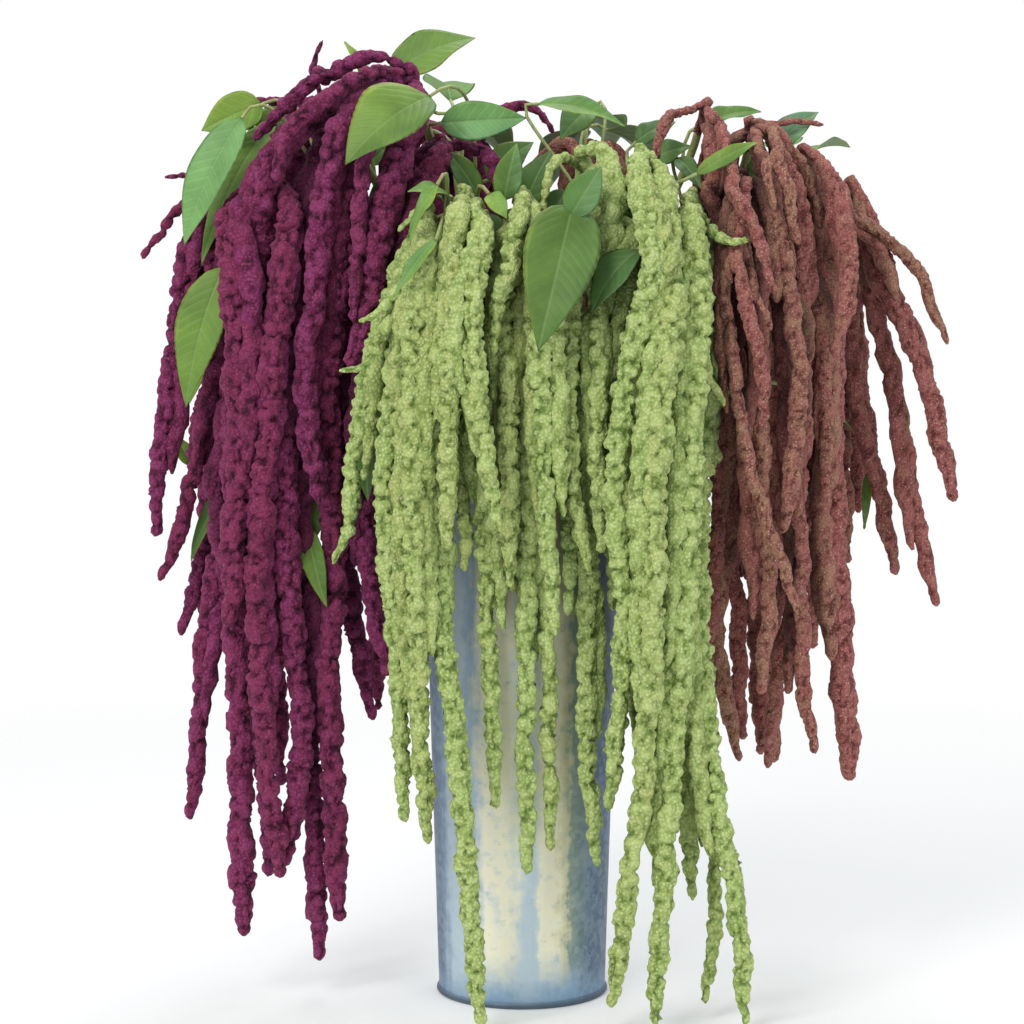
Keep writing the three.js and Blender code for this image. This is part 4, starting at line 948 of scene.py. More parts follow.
def zincFinish():
    material, nodes, place = startFinish("old zinc")
    axes = nodes.make("ShaderNodeSeparateXYZ", {}, {"Vector": place})
    y, z = axes.other("Y"), axes.other("Z")
    angle = nodes.math("ARCTAN2", axes, 0 - y)  # 0 in front, rising to the right
    squeeze = nodes.squeezed(place, zinc["streakWidth"] / zinc["streakLength"])
    streak = nodes.noise(squeeze, zinc["streakWidth"], 3.0, 0.55)
    wide = nodes.noise(squeeze, 4 * zinc["streakWidth"], 2.0, 0.5)
    blotch = nodes.noise(place, zinc["blotchSize"], 4.0, 0.65)
    grain = nodes.noise(place, zinc["grainSize"], 2.0, 0.6)
    spangle = nodes.red(nodes.cells(place, zinc["spangleSize"]).other("Color"))
    shiver = (streak - 0.5) * 0.22 + (blotch - 0.5) * 0.34  # breaks up the edges of the bands

    def band(centre, width, strength=1):
        # a soft upright band of the front, and its like on the other sides
        turn = nodes.math("WRAP", angle + shiver - math.radians(centre), math.pi, -math.pi)
        inner = math.radians(zinc["softEdge"] * width)
        return nodes.span(abs(turn), math.radians(width), inner, 0, strength, "SMOOTHSTEP")

    def bands(name):
        strongest, *others = [band(*row) for row in zinc[name]]
        for mask in others:
            strongest = nodes.math("MAXIMUM", strongest, mask)
        return strongest

    low = nodes.span(z + (blotch - 0.5) * 0.05, *zinc["lowZone"])
    # painted reflection: cream upright bands where the metal mirrors warm light, kept off the foot and broken
    # up by blotches
    creamReflection = bands("creamReflectionBands") * (1 - band(*zinc["creamReflectionGap"]) * nodes.span(z, *zinc["gapZone"]))
    creamReflection = creamReflection * low * nodes.span(blotch * 0.6 + wide * 0.4, 0.3, 0.42, 0.35, 0.95)
    flecks = nodes.span(blotch, 0.62, 0.7) * nodes.span(grain, 0.4, 0.6)
    foot = nodes.span(z + (blotch - 0.5) * 0.03, *zinc["footZone"])
    coats = [
        (bands("paleBands") * 0.75, "pale"), (bands("greenBands") * low * 0.85, "green"),
        # painted shade down the sides away from the light
        (bands("paintedShadeBands") * 0.93, "shade"), (creamReflection, "creamReflection"),
        (band(*zinc["ochreBand"]) * low * 0.6, "ochre"), (foot * 0.6, "blue"), (flecks * 0.55, "blue"),
        (nodes.span(spangle, 0, 1, 0.0, 0.16), "glint"),
    ]
    colour = nodes.mix(nodes.span(streak, 0.3, 0.7) * 0.5, zinc["blue"], zinc["pale"])
    for mask, tint in coats:
        colour = nodes.mix(mask, colour, zinc[tint])
    # painted shade: the upper bucket darkened toward the rim, where the tassels hang over it
    colour = nodes.scaled(colour, nodes.span(z, *zinc["shadedTopZone"], 1.0, 0.75))
    colour = nodes.mix(nodes.span(z, *zinc["beadZone"]) * 0.8, colour, zinc["foot"])
    bump = nodes.bump(0.35, 0.002, wide * 0.6 + grain * 0.15 + spangle * 0.08)
    rough, metal = nodes.span(blotch, 0.3, 0.7, 0.38, 0.58), nodes.span(streak, 0.3, 0.7, 0.2, 0.4)
    inputs = {"Base Color": colour, "Normal": bump, "Roughness": rough, "Metallic": metal}
    endFinish(nodes, inputs, {"Specular IOR Level": 0.4})
    return material


def waterFinish():
    material, nodes, place = startFinish("flower water")
    murk = nodes.noise(place, 0.03, 3.0, 0.6)
    colour = nodes.mix(nodes.span(murk, 0.3, 0.7), pond["colour"], tuple(0.6 * v for v in pond["colour"]))
    bump = nodes.bump(0.15, 0.001, nodes.noise(place, 0.02))
    fixed = {"Roughness": 0.06, "IOR": 1.33, "Specular IOR Level": 0.6}
    endFinish(nodes, {"Base Color": colour, "Normal": bump}, fixed)
    return material


total = 0
bucketMesh = turnedShell("zinc_bucket", bucketProfile(), bucketShape["sides"])
bucketMesh.materials.append(zincFinish())
total += handIn(standing("zinc_bucket", bucketMesh), "zinc", "bucket")
pondHeights = np.linspace(bucketShape["floorThick"] + pond["offFloor"], pond["top"], pond["rings"])
pondSide = [(bucketRadius(z) - pond["gap"], z) for z in pondHeights]
waterMesh = turnedShell("flower_water", [(0, pondHeights[0]), *pondSide, (0, pond["top"])], pond["sides"])
waterMesh.materials.append(waterFinish())
total += handIn(standing("flower_water", waterMesh), "water", "water")
print("bucket and water in place:", total, "triangles")


# Stems and leaves
green = {
    "stemSides": 8, "stalkSides": 6, "ringStep": 0.013,
    "columns": [-1, -0.84, -0.62, -0.38, -0.18, -0.06, 0, 0.06, 0.18, 0.38, 0.62, 0.84, 1],
    "rows": 20, "rowEase": 0.9,
    "widest": 0.36, "round": 0.6, "leastHalf": 0.8, "thick": 0.7, "ribHeight": 1.5, "ribWidth": 1.6,
    "ribFade": 0.75, "ripple": 0.35, "veinStep": 10.5, "veinSlope": 0.7, "veinCurve": 0.012,
    "tintSpread": 0.2,
    "yellow": (0.225, 0.345, 0.050), "fresh": (0.115, 0.235, 0.045), "blue": (0.110, 0.225, 0.120),
    "vein": (0.060, 0.115, 0.050), "rib": (0.25, 0.36, 0.14), "under": (0.23, 0.34, 0.17),
    "edge": (0.42, 0.46, 0.08), "stem": (0.40, 0.47, 0.17), "flush": (0.34, 0.10, 0.10),
    "innerSeed": 41,
}
# Leaves that only the scene has, laid out like the others: small ones in the gaps between the stems, made
# dark with painted shade as they stand in shadow, and the big one at the left, which hangs in front of the
# tassels.
innerLeaves = [
    [9, [524, 206, 20], [552, 150, 24], 34, 0, 0.55, -0.45],
    [4, [488, 180, -30], [534, 142, -36], 36, 0, 0.5, -0.4],
    [8, [478, 196, 40], [446, 150, 34], 26, 0, 0.5, -0.35],
    [4, [420, 172, -34], [364, 212, -38], 34, 0, 0.6, -0.5],
    [10, [566, 190, 10], [546, 234, 16], 30, 0, 0.6, -0.5],
    [11, [652, 160, 0], [692, 146, 8], 26, 0, 0.5, -0.3],
    [7, [446, 214, 56], [476, 246, 60], 28, 0, 0.6, -0.5],
    [3, [322, 486, 20], [311, 546, 24], 24, 0, 0.35, -0.3],
    [14, [770, 200, -44], [752, 148, -50], 36, 0, 0.6, -0.5],
    [4, [402, 138, -70], [366, 168, -74], 30, 0, 0.5, -0.3],
    [2, [224, 266, 36], [186, 408, 44], 50, 8, 0.28, -0.12],
]


def leafOutline(s):
    # half width along the leaf: round at the stalk, long and pointed at the tip
    widest, a = green["widest"], green["round"]
    b = a * (1 - widest) / widest
    return (s / widest) ** a * ((1 - s) / (1 - widest)) ** b


# What each place of a leaf tells its finish: veins passed since the stalk, way from the rib, share of the
# way to the rim, underside, green and lightness, which holds painted light and shade as well as the leaf's
# own tone.
leafFields = "veinWay", "across", "rim", "under", "tint", "shade"


def bladePiece(leaf):
    # top and underside share the rim, and the tip is one point
    places, rows, numbers = [], [], {name: [] for name in leafFields}
    stations = np.linspace(0, 1, green["rows"] + 1)[:-1] ** green["rowEase"]
    columns = green["columns"]

    def add(point, s, t, half, under):
        places.append(point * mm)
        aside = abs(t) * half
        way = s * leaf["length"] - green["veinSlope"] * aside - green["veinCurve"] * aside * aside
        tint = leaf["tint"] + green["tintSpread"] * t * math.cos(2 * leaf["phase"])
        values = way / green["veinStep"], t * half * mm, abs(t), under, tint, leaf["shade"]
        for name, value in zip(leafFields, values):
            numbers[name].append(value)
        return len(places) - 1

    for s in stations:
        least = stalkShape["radius"] * green["leastHalf"]
        half = max(0.5 * leaf["width"] * float(leafOutline(s)), least)
        share = 2 * half / leaf["width"]
        row = {"top": [], "under": []}
        for t in columns:
            ripple = green["ripple"] * math.sin(leaf["phase"] * 3 + 21 * s + 4 * t) * abs(t) * share
            base = bladePlace(leaf, s, t, share) + leaf["face"] * ripple
            lens = 0.5 * green["thick"] * math.sqrt(max(0, 1 - t * t))
            rib = math.exp(-((abs(t) * half / green["ribWidth"]) ** 2)) * (1 - green["ribFade"] * s)
            if abs(t) == 1:
                place = add(base, s, t, half, 0.5)
                row["top"].append(place)
                row["under"].append(place)
                continue
            row["top"].append(add(base + leaf["face"] * (lens - 0.5 * rib), s, t, half, 0))
            row["under"].append(add(base - leaf["face"] * (lens + green["ribHeight"] * rib), s, t, half, 1))
        rows.append(row)
    tip = add(bladePlace(leaf, 1.0, 0.0, 0.0), 1, 0, 0, 0.5)
    faces = []
    for a, b in zip(rows, rows[1:]):
        for k in range(len(columns) - 1):
            faces.append((a["top"][k], a["top"][k + 1], b["top"][k + 1], b["top"][k]))
            faces.append((a["under"][k + 1], a["under"][k], b["under"][k], b["under"][k + 1]))
    for k in range(len(columns) - 1):
        faces.append((rows[-1]["top"][k], rows[-1]["top"][k + 1], tip))
        faces.append((rows[-1]["under"][k + 1], rows[-1]["under"][k], tip))
    faces.append(tuple(rows[0]["under"] + rows[0]["top"][-2:0:-1]))
    return places, faces, numbers


def leafFinish():
    material, nodes, place = startFinish("leaf green")
    veinWay, across, rim, under, tint, shade = (nodes.named(name) for name in leafFields)
    wobble = nodes.noise(place, 0.012, 2.0, 0.5)
    fine = nodes.noise(place, 0.0016, 3.0, 0.6)
    broad = nodes.noise(place, 0.035, 2.0, 0.5)
    phase = nodes.math("FRACT", veinWay + (wobble - 0.5) * 0.35)
    ridge = abs(phase - 0.5) * 2  # 1 on a vein, 0 half way between two
    side = nodes.span(ridge, 0.86, 0.99, 0, 1, "SMOOTHSTEP") * nodes.span(rim, 0.97, 0.7)
    middle = nodes.span(abs(across), 0.0016, 0.0006, 0, 1, "SMOOTHSTEP")
    colour = nodes.mix(nodes.span(tint, 0, 0.45), green["yellow"], green["fresh"])
    colour = nodes.mix(nodes.span(tint, 0.45, 1), colour, green["blue"])
    mottle = nodes.span(broad + (fine - 0.5) * 0.4, 0.3, 0.7, 0.78, 1.2)
    # painted light and shade: each leaf made lighter or darker by its shade value, along with its mottling
    colour = nodes.scaled(colour, mottle * nodes.span(shade, -0.8, 0.8, 0.42, 1.75))
    under = nodes.span(under, 0.4, 0.6)
    colour = nodes.mix(under * 0.7, colour, green["under"])
    hollow = tuple(0.5 * v for v in green["fresh"])
    colour = nodes.mix(nodes.span(ridge, 0.75, 0.1, 0, 0.12), colour, hollow)
    colour = nodes.mix(side * (0.3 - under * 0.2), colour, green["vein"])
    colour = nodes.mix(middle * (0.3 + under * 0.3), colour, green["rib"])
    yellowRim = nodes.span(rim + (broad - 0.5) * 0.3, 0.86, 1.0) * nodes.span(tint, 0.6, 0.1)
    colour = nodes.mix(yellowRim * 0.5, colour, green["edge"])
    bump = nodes.bump(0.35, 0.0011, (1 - ridge * ridge) * 0.9 + fine * 0.15 + broad * 0.4 - middle * 0.6)
    rough = nodes.span(fine, 0.3, 0.7, 0.42, 0.6)
    endFinish(nodes, {"Base Color": colour, "Normal": bump, "Roughness": rough}, {"Specular IOR Level": 0.3})
    return material


def stemFinish():
    material, nodes, place = startFinish("stem green")
    lines = nodes.noise(nodes.squeezed(place, 0.08), 0.0018, 2.0, 0.5)
    patch = nodes.noise(place, 0.05, 2.0, 0.5)
    dark = tuple(0.6 * v for v in green["stem"])
    colour = nodes.mix(nodes.span(lines, 0.3, 0.7), green["stem"], dark)
    colour = nodes.mix(nodes.span(patch, 0.55, 0.8) * 0.5, colour, green["flush"])
    endFinish(nodes, {"Base Color": colour, "Normal": nodes.bump(0.5, 0.0006, lines)}, {"Roughness": 0.5})
    return material


def stemTree():
    tree, nodes, given = openTree("stems", {
        "Geometry": "Geometry", "Ring Step": "Float", "Sides": "Int", "Finish": "Material"})
    endTree(nodes, lineTube(nodes, given, "Ring Step", nodes.named("thick")), given["Finish"])
    return tree


def joined(name, meshes):
    # one mesh of several, with their finishes and attributes
    pieces = [standing(name, mesh) for mesh in meshes]
    if len(pieces) > 1:
        with bpy.context.temp_override(active_object=pieces[0], selected_editable_objects=pieces):
            bpy.ops.object.join()
    return pieces[0]


def addedLeaves(head, index, draw):
    # the scene's own leaves of one head, each on a stalk from the nearest place of its stem
    stem = beadAt[head["stem"]]
    for _, base, tip, *look in (row for row in innerLeaves if row[0] == index):
        leaf = makeLeaf(index, seen(base), seen(tip), *look, bladeShape["facing"], draw)
        joint = stem[np.linalg.norm(stem - leaf["base"], axis=1).argmin()]
        leaf["way"] = stalkWay(joint, leaf, 3)
        yield leaf


leafGreen, stemGreen, stems = leafFinish(), stemFinish(), stemTree()
innerDraw = randomRun(green["innerSeed"])
total, tally = 0, {}
for index, head in enumerate(heads):
    kind = head["kind"]
    head["number"] = tally[kind] = tally.get(kind, 0) + 1
    own = [b for b in blades if b["head"] == index]
    added = list(addedLeaves(head, index, innerDraw))
    ways = [(beadAt[head["stem"]], beadRadius[head["stem"]], green["stemSides"])]
    for way in [beadAt[b["stalk"]] for b in own] + [b["way"] for b in added]:
        ways.append((way, np.full(len(way), stalkShape["radius"]), green["stalkSides"]))
    meshes = []
    for way, radii, sides in ways:
        values = {"Ring Step": green["ringStep"], "Sides": sides, "Finish": stemGreen}
        meshes.append(grown(standing("line", plainLine(way, radii)), stems, values))
    for leaf in own + added:
        places, faces, numbers = bladePiece(leaf)
        mesh = smoothed(plainMesh("blade", places, faces))
        giveNumbers(mesh, **numbers)
        mesh.materials.append(leafGreen)
        meshes.append(mesh)
    piece = joined(f"{kind}_greens_{head['number']}", meshes)
    total += handIn(piece, "greenery", f"{kind}_stem_{head['number']}")
print("stems and leaves in place:", total, "triangles")


# Tassels
# pit, middle and top: colours from the dips between the lumps to their crowns, which paint shade in the dips
# and light on the crowns over the florets' own colour; speck is partly floret colour and partly painted
# highlight; shadow is the share of brightness kept under the painted shade where tassels crowd in
tassel = {
    "magenta": {
        "Grid": 0.0031, "Swell": 0.59, "End Swell": 1.35, "Lump Size": 0.0098, "Lump Height": 0.0056,
        "Roughen": 0.0012, "Sway": 0.005, "beside": [0.95, 0.9],
        "grainSize": 0.0030, "grainDepth": 0.0013, "grainBlend": 0.5, "dipShare": 0.85, "speckShare": 0.16,
        "top": (0.27, 0.043, 0.140), "middle": (0.145, 0.015, 0.066), "pit": (0.044, 0.005, 0.019),
        "warm": (0.235, 0.030, 0.078), "speck": (0.46, 0.19, 0.27), "sheen": 0.28, "shadow": 0.5,
    },
    "green": {
        "Grid": 0.0030, "Swell": 0.62, "End Swell": 1.04, "Lump Size": 0.0094, "Lump Height": 0.0060,
        "Roughen": 0.0012, "Sway": 0.004, "beside": [1.0, 0.95, 0.95],
        "grainSize": 0.0033, "grainDepth": 0.0016, "grainBlend": 0.55, "dipShare": 0.74, "speckShare": 0.45,
        "top": (0.54, 0.655, 0.250), "middle": (0.315, 0.425, 0.122), "pit": (0.150, 0.225, 0.050),
        "warm": (0.52, 0.56, 0.20), "speck": (0.74, 0.80, 0.46), "sheen": 0.04, "shadow": 0.66,
    },
    "rose": {
        "Grid": 0.0032, "Swell": 0.64, "End Swell": 1.35, "Lump Size": 0.0072, "Lump Height": 0.0028,
        "Roughen": 0.0016, "Sway": 0.005, "beside": [1.0, 0.95],
        "grainSize": 0.0023, "grainDepth": 0.0012, "grainBlend": 0.6, "dipShare": 0.8, "speckShare": 0.6,
        "top": (0.41, 0.155, 0.135), "middle": (0.27, 0.082, 0.075), "pit": (0.105, 0.030, 0.026),
        "warm": (0.38, 0.225, 0.130), "speck": (0.60, 0.38, 0.29), "sheen": 0.26, "shadow": 0.30,
    },
}
relief = {
    "drift": 0.035, "bulge": 0.024, "fine": 0.003, "spread": 0.66, "fuzz": 0.0009, "patch": 0.014,
    "tip": (0.52, -4, 50), "lastStep": 0.7, "lastRadius": 0.35, "sizeDraw": (0.86, 0.28), "seeds": 3,
    "girthRank": 75, "leastSides": 7,
}
coarser = {"rachis": 1.2, "back": 1.3, "rank": 80, "open": [[0.12, 0.4], [1.35, 1]]}  # where less shows
# tassels behind the tassels: light is the share of their outlook they keep, which deepens their painted shade
company = {  # tassels behind the tassels
    "reach": 14.0, "shortest": 0.4, "longest": 0.92, "grid": 2.1, "least": 9, "light": 0.75, "lowest": 365.0,
    "steep": 0.7, "window": 4, "ease": 7, "wallShare": 1.1, "wallGap": 1, "wallZone": (60, 20),
    "tip": (0.45, -4, 60), "seed": 500,
}
sight = {"cell": 55, "ahead": 0.5, "margin": 2, "steep": 0.9}


def outlook():
    # for every bead the share of directions in which nothing stands in the way, and twice their mean
    axis = (-1, 0, 1)
    grid = np.array([(x, y, z) for x in axis for y in axis for z in axis if x or y or z], float)
    ways = grid / np.linalg.norm(grid, axis=1)[:, None]
    chain = np.array(beads["chain"])
    askers = np.flatnonzero(np.isin(np.array(beads["kind"]), ["tassel", "rachis"]))
    shut = np.zeros((len(beadAt), len(ways)), bool)
    for i, j in neighbours(beadAt, askers, sight["cell"]):
        other = chain[i] != chain[j]
        i, j = i[other], j[other]
        gap = beadAt[j] - beadAt[i]
        ahead = gap @ ways.T
        beside = (gap**2).sum(1)[:, None] - ahead**2
        near = beside < (beadRadius[j] + sight["margin"])[:, None] ** 2
        pair, way = np.nonzero(near & (ahead > sight["ahead"] * beadRadius[i][:, None]))
        shut[i[pair], way] = True
    # the bucket shuts the level ways of the beads beside it
    low = beadAt[:, 2] < bucketShape["height"]
    flat, wide = beadAt[:, :2], bucketRadius(beadAt[:, 2])
    ahead = -(flat @ ways[:, :2].T) / np.maximum((ways[:, :2] ** 2).sum(1), 1e-9)
    beside = np.linalg.norm(flat[:, None] + ahead[:, :, None] * ways[None, :, :2], axis=2)
    shut |= low[:, None] & (ahead > 0) & (beside < wide[:, None]) & (np.abs(ways[:, 2]) < sight["steep"])
    free = (~shut).astype(float)
    return np.column_stack([free.mean(1), 2 * free @ ways / len(ways)])


freeSide = outlook()
print("open sides found")


def wayLeft(count):
    # how far each bead of a chain is from its last one
    return hanging["beadStep"] * (count - 1 - np.arange(count))


def bluntEnd(radii):
    # fuller tips than the beads have, and a rounded end
    left = wayLeft(len(radii))
    return radii * rising(left, *relief["tip"]) / rising(left, *hanging["tip"])


def companion(chain, radii, draw, thin):
    # a shorter tassel that branches off a hanging one, to its inner side
    rule = company
    share = rule["shortest"] + (rule["longest"] - rule["shortest"]) * draw()
    aside = 2 * draw() - 1
    points, out = beadAt[chain], freeSide[chain, 1:]
    falls = np.diff(points[:, 2]) < -rule["steep"] * hanging["beadStep"]
    first, last = int(np.argmax(falls)), round((len(chain) - 1) * share)
    if not falls.any() or last - first < rule["least"]:
        return None
    half = rule["window"]
    out = np.array([out[max(0, k - half):k + half + 1].mean(0) for k in range(first, last)])
    out /= np.maximum(np.linalg.norm(out, axis=1), 0.3)[:, None]
    points, radii, free = points[first:last], radii[first:last] * thin, freeSide[chain[first:last]]
    across = np.cross(out, np.gradient(points, axis=0))
    across /= np.maximum(np.linalg.norm(across, axis=1), 1e-6)[:, None]
    ease = smoothStep(np.arange(len(points)), 0, rule["ease"])[:, None]
    points = points + ease * rule["reach"] * (aside * across - (1 - 0.5 * abs(aside)) * out)
    # it keeps outside the bucket and ends where it would be pushed out low down
    wide = np.linalg.norm(points[:, :2], axis=1)
    push = bucketRadius(points[:, 2]) + rule["wallShare"] * radii + rule["wallGap"] - wide
    push = np.maximum(push, 0) * smoothStep(points[:, 2] - bucketShape["height"], *rule["wallZone"])
    points[:, :2] *= (1 + push / np.maximum(wide, 1))[:, None]
    over = (push > 0) & (points[:, 2] < rule["lowest"])
    count = int(np.argmax(over)) if over.any() else len(points)
    if count < rule["least"]:
        return None
    radii = radii[:count] * rising(wayLeft(count), *rule["tip"])
    return points[:count], radii, rule["light"] * free[:count]


def tasselPaths(head, draw):
    # the points, radii and outlook of each of the head's tassels, and how coarse its grid may be
    rachis = head["rachis"]
    yield beadAt[rachis], beadRadius[rachis] / hanging["fullness"], freeSide[rachis], coarser["rachis"]
    for chain in map(list, head["hung"]):
        radii = beadRadius[chain] / hanging["fullness"]
        yield beadAt[chain], bluntEnd(radii), freeSide[chain], coarser["back"] if "fan" in head else 1
        for thin in tassel[head["kind"]]["beside"]:
            beside = companion(chain, radii, draw, thin)
            if beside:
                yield *beside, company["grid"]


def tasselLine(points, radii, free, tone):
    last = points[-1] + unit(points[-1] - points[-2]) * radii[-1] * relief["lastStep"]
    free = np.vstack([free, free[-1]])
    mesh = plainLine(np.vstack([points, last]), np.append(radii, relief["lastRadius"] * radii[-1]))
    giveNumbers(mesh, along=np.linspace(0, 1, len(free)), tone=np.full(len(free), tone))
    giveNumbers(mesh, free=free[:, 0], freeX=free[:, 1], freeY=free[:, 2], freeZ=free[:, 3])
    return standing("line", mesh)


def tasselTree():
    # a tube along the line, raised into the lumps of a Voronoi pattern
    sizes = "Grid", "Swell", "End Swell", "Lump Size", "Lump Height", "Roughen", "Sway", "Seed"
    tree, nodes, given = openTree("tassel", {
        "Geometry": "Geometry", "Sides": "Int", "Finish": "Material", **{name: "Float" for name in sizes}})
    make, vector, scaled = nodes.make, nodes.vector, nodes.scaled
    thick, along = nodes.named("thick"), nodes.named("along")
    apart = make("ShaderNodeCombineXYZ", {}, {"X": given["Seed"], "Y": given["Seed"] * 0.37, "Z": 0.0})
    place = vector("ADD", make("GeometryNodeInputPosition"), apart)
    drift = vector("SUBTRACT", nodes.noise(place, relief["drift"], 1.5, 0.5, "Color"), (0.5, 0.5, 0.5))
    held = nodes.span(along, 0.0, 0.25) * nodes.span(along, 1.0, 0.9, 0.5, 1)
    swing = scaled(drift, given["Sway"] * 3 * held)
    bulge = nodes.span(nodes.noise(place, relief["bulge"], 1.0), 0.3, 0.7, 0.84, 1.16)
    swell = thick * given["Swell"] * nodes.span(along, 0.35, 0.9, 1.0, given["End Swell"]) * bulge
    tube = lineTube(nodes, given, "Grid", swell, swing)
    outward = make("GeometryNodeInputNormal")
    cells = nodes.cells(place, given["Lump Size"], 0.85)
    toCell = vector("SUBTRACT", place, cells.other("Position"))
    flat = vector("SUBTRACT", toCell, scaled(outward, vector("DOT_PRODUCT", toCell, outward, "Value")))
    away = vector("LENGTH", flat, output="Value") / given["Lump Size"] / relief["spread"]
    dome = nodes.math("SQRT", nodes.math("MAXIMUM", 1 - away * away, 0.0))
    grain = make("ShaderNodeSeparateXYZ", {}, {"Vector": cells.other("Color")})
    fine = nodes.noise(place, relief["fine"], 2.0, 0.6)
    small = nodes.span(thick, 0.002, 0.010, 0.45, 1.0)
    lump = given["Lump Height"] * nodes.span(along, 0.1, 0.8, 1.2, 0.85)
    height = ((dome * (0.7 + 0.6 * grain) - 0.35) * lump + (fine - 0.5) * given["Roughen"] * 2) * small
    freeWay = make("ShaderNodeCombineXYZ", {}, {axis: nodes.named("free" + axis) for axis in "XYZ"})
    # light: how open each point is to the outside, which the finish turns into painted shade where tassels
    # crowd in
    light = nodes.named("free") + vector("DOT_PRODUCT", outward, freeWay, "Value")
    for name, value in {"dip": 1 - dome, "grain": grain, "light": light}.items():
        inputs = {"Geometry": tube, "Name": name, "Value": value}
        tube = make("GeometryNodeStoreNamedAttribute", {"data_type": "FLOAT", "domain": "POINT"}, inputs)
    tube = make("GeometryNodeSetPosition", {}, {"Geometry": tube, "Offset": scaled(outward, height)})
    endTree(nodes, tube, given["Finish"])
    return tree


def tasselFinish(kind):
    look = tassel[kind]
    material, nodes, place = startFinish(kind + " florets")
    grain, dip, tone, light = (nodes.named(n) for n in ("grain", "dip", "tone", "light"))
    grains = nodes.cells(place, look["grainSize"], 0.9)
    each = nodes.red(grains.other("Color"))
    bead = nodes.span(grains, 0.15, 0.75, 1, 0)
    fuzz = nodes.noise(place, relief["fuzz"], 2.0, 0.6)
    patch = nodes.noise(place, relief["patch"], 2.0, 0.6)
    # height: low in the dips between lumps, high on their crowns; the ramp paints shade in the dips and light
    # on the crowns, over the florets' own grain and tone
    height = 0.95 - dip * look["dipShare"] + (grain - 0.5) * 0.3
    height = height + (bead - 0.6) * look["grainBlend"] + (fuzz - 0.5) * 0.35
    stops = [(0.0, look["pit"]), (0.5, look["middle"]), (1.0, look["top"])]
    colour = nodes.make("ShaderNodeValToRGB", {"stops": stops}, {"Fac": height})
    warm = nodes.span(patch + (tone - 0.5) * 0.45, 0.4, 0.75)
    ripe = nodes.mix(nodes.span(height, 0.0, 0.9), look["pit"], look["warm"])
    colour = nodes.mix(warm * 0.75, colour, ripe)
    # specks: pale grains on the raised florets, partly their own colour and partly painted highlight
    specks = nodes.span(each, 0.7, 0.95) * nodes.span(bead, 0.4, 0.8) * nodes.span(height, 0.3, 0.6)
    colour = nodes.mix(specks * look["speckShare"], colour, look["speck"])
    # painted shade: florets darkened where other tassels or the bucket close them in, down to the shadow
    # share
    paintedShade = nodes.span(light + (fuzz - 0.5) * 0.15, 0.05, 0.5, look["shadow"], 1.0, "SMOOTHSTEP")
    bump = nodes.bump(0.8, look["grainDepth"], bead + (fuzz - 0.5) * 0.7)
    rough = nodes.span(fuzz, 0.3, 0.7, 0.72, 0.9)
    endFinish(nodes, {"Base Color": nodes.scaled(colour, paintedShade), "Normal": bump, "Roughness": rough}, {
        "Sheen Weight": look["sheen"], "Sheen Roughness": 0.4, "Specular IOR Level": 0.25,
        "Sheen Tint": (*[min(1, 2.2 * v + 0.15) for v in look["top"]], 1)})
    return material


tasselRule = tasselTree()
total = 0
for index, head in enumerate(heads):
    kind = head["kind"]
    if "finish" not in tassel[kind]:
        tassel[kind]["finish"] = tasselFinish(kind)
    draw = randomRun(company["seed"] + index)
    meshes = []
    for points, radii, free, coarse in tasselPaths(head, draw):
        # the tree's inputs; hidden tassels get a coarser grid
        values = {k: v for k, v in tassel[kind].items() if k[0].isupper()}
        values["Grid"] *= coarse * np.interp(np.percentile(free[:, 0], coarser["rank"]), *coarser["open"])
        values["Lump Size"] *= drawn(relief["sizeDraw"], draw)
        girth = 2 * math.pi * float(np.percentile(radii, relief["girthRank"])) * mm
        values["Sides"] = max(relief["leastSides"], round(girth / values["Grid"]))
        values.update({"Seed": relief["seeds"] * draw(), "Finish": tassel[kind]["finish"]})
        meshes.append(grown(tasselLine(points, radii, free, draw()), tasselRule, values))
    spray = joined(f"{kind}_tassels_{head['number']}", meshes)
    total += handIn(spray, kind + "_tassels", f"{kind}_spray_{head['number']}")
print("tassels in place:", total, "triangles")


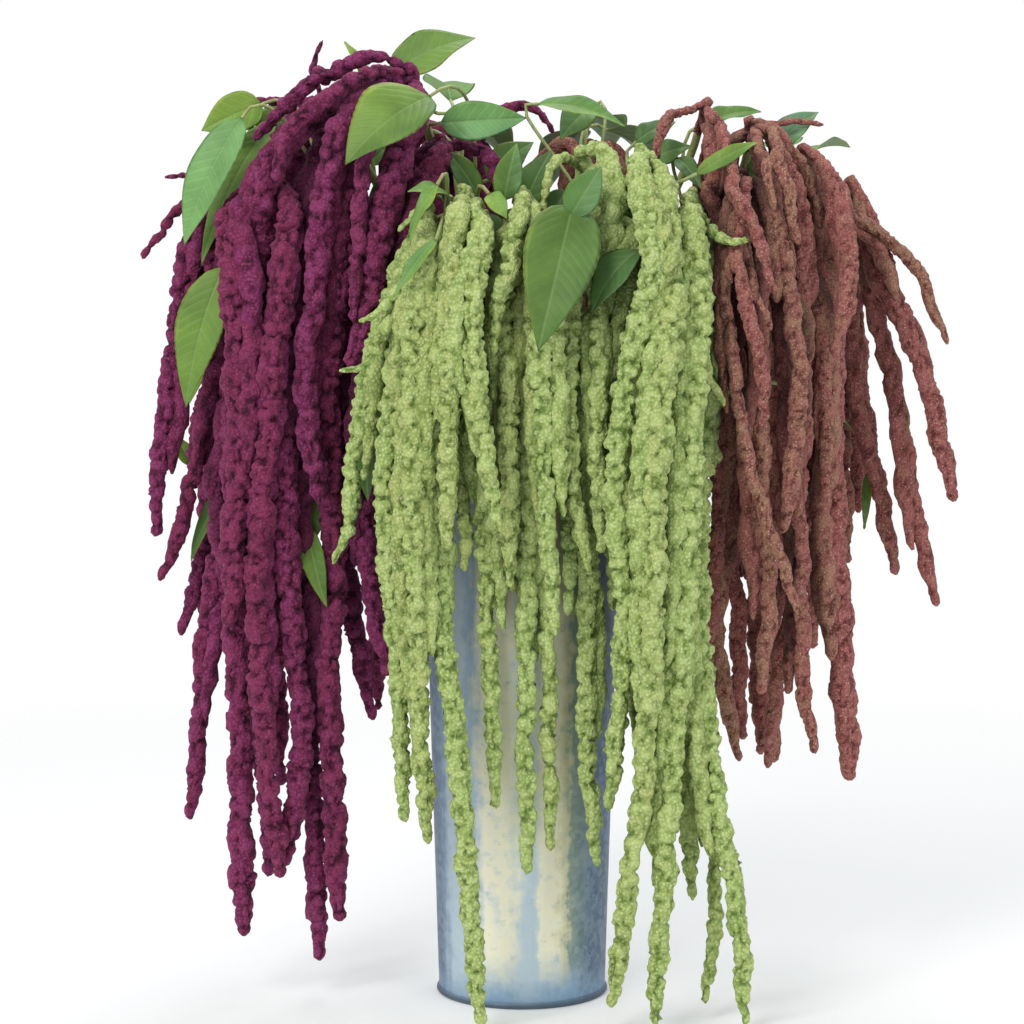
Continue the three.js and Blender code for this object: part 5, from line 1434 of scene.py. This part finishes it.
# Floor, backdrop and light
studio = {
    "floor": (0.9, 0.9, 0.9, 1), "floorGlow": 0.12, "fadeStart": 0.7, "fadeEnd": 2.2, "half": 4,
    "sky": (0.93, 0.97, 1.0, 1), "skyLight": 0.62, "middle": (0, 0, 0.5),
}
white = (1, 1, 1, 1)
half = studio["half"]
corners = [(-half, -half, 0), (half, -half, 0), (half, half, 0), (-half, half, 0)]
floorMesh = plainMesh("floor", corners, [(0, 1, 2, 3)])
floor = standing("floor", floorMesh)
floorFinish, nodes, place = startFinish("pale floor")
away = nodes.vector("LENGTH", place, output="Value")
matt = nodes.make("ShaderNodeBsdfPrincipled", {}, {
    "Base Color": studio["floor"], "Roughness": 0.9, "Emission Color": white,
    "Emission Strength": studio["floorGlow"]})
clear = nodes.make("ShaderNodeBsdfTransparent")
fade = nodes.span(away, studio["fadeStart"], studio["fadeEnd"])
shader = nodes.make("ShaderNodeMixShader", {}, {0: fade, 1: matt, 2: clear})
nodes.make("ShaderNodeOutputMaterial", {}, {"Surface": shader})
floorMesh.materials.append(floorFinish)

world = bpy.data.worlds.new("studio")
world.use_nodes = True
bpy.context.scene.world = world
nodes = Nodes(world.node_tree)
direct = nodes.make("ShaderNodeLightPath", {}, {}, "Is Camera Ray")
soft = nodes.make("ShaderNodeBackground", {}, {"Color": studio["sky"], "Strength": studio["skyLight"]})
plain = nodes.make("ShaderNodeBackground", {}, {"Color": white, "Strength": 1.0})
mixed = nodes.make("ShaderNodeMixShader", {}, {0: direct, 1: soft, 2: plain})
nodes.make("ShaderNodeOutputWorld", {}, {"Surface": mixed})

lamps = {
    "key": {"at": (-1.5, -2.3, 2.6), "size": 1.6, "power": 62, "colour": (1.0, 0.98, 0.95)},
    "fill": {"at": (2.2, -1.8, 1.2), "size": 1.8, "power": 16, "colour": (0.95, 0.98, 1.0)},
    "top": {"at": (0.2, 0.9, 2.8), "size": 1.4, "power": 22, "colour": (1.0, 1.0, 1.0)},
}
for name, lamp in lamps.items():
    light = bpy.data.lights.new(name, "AREA")
    light.size, light.energy, light.color = lamp["size"], lamp["power"], lamp["colour"]
    holder = bpy.data.objects.new(name, light)
    holder.location = lamp["at"]
    aim = Vector(studio["middle"]) - Vector(lamp["at"])
    holder.rotation_euler = aim.to_track_quat("-Z", "Y").to_euler()
    bpy.context.collection.objects.link(holder)
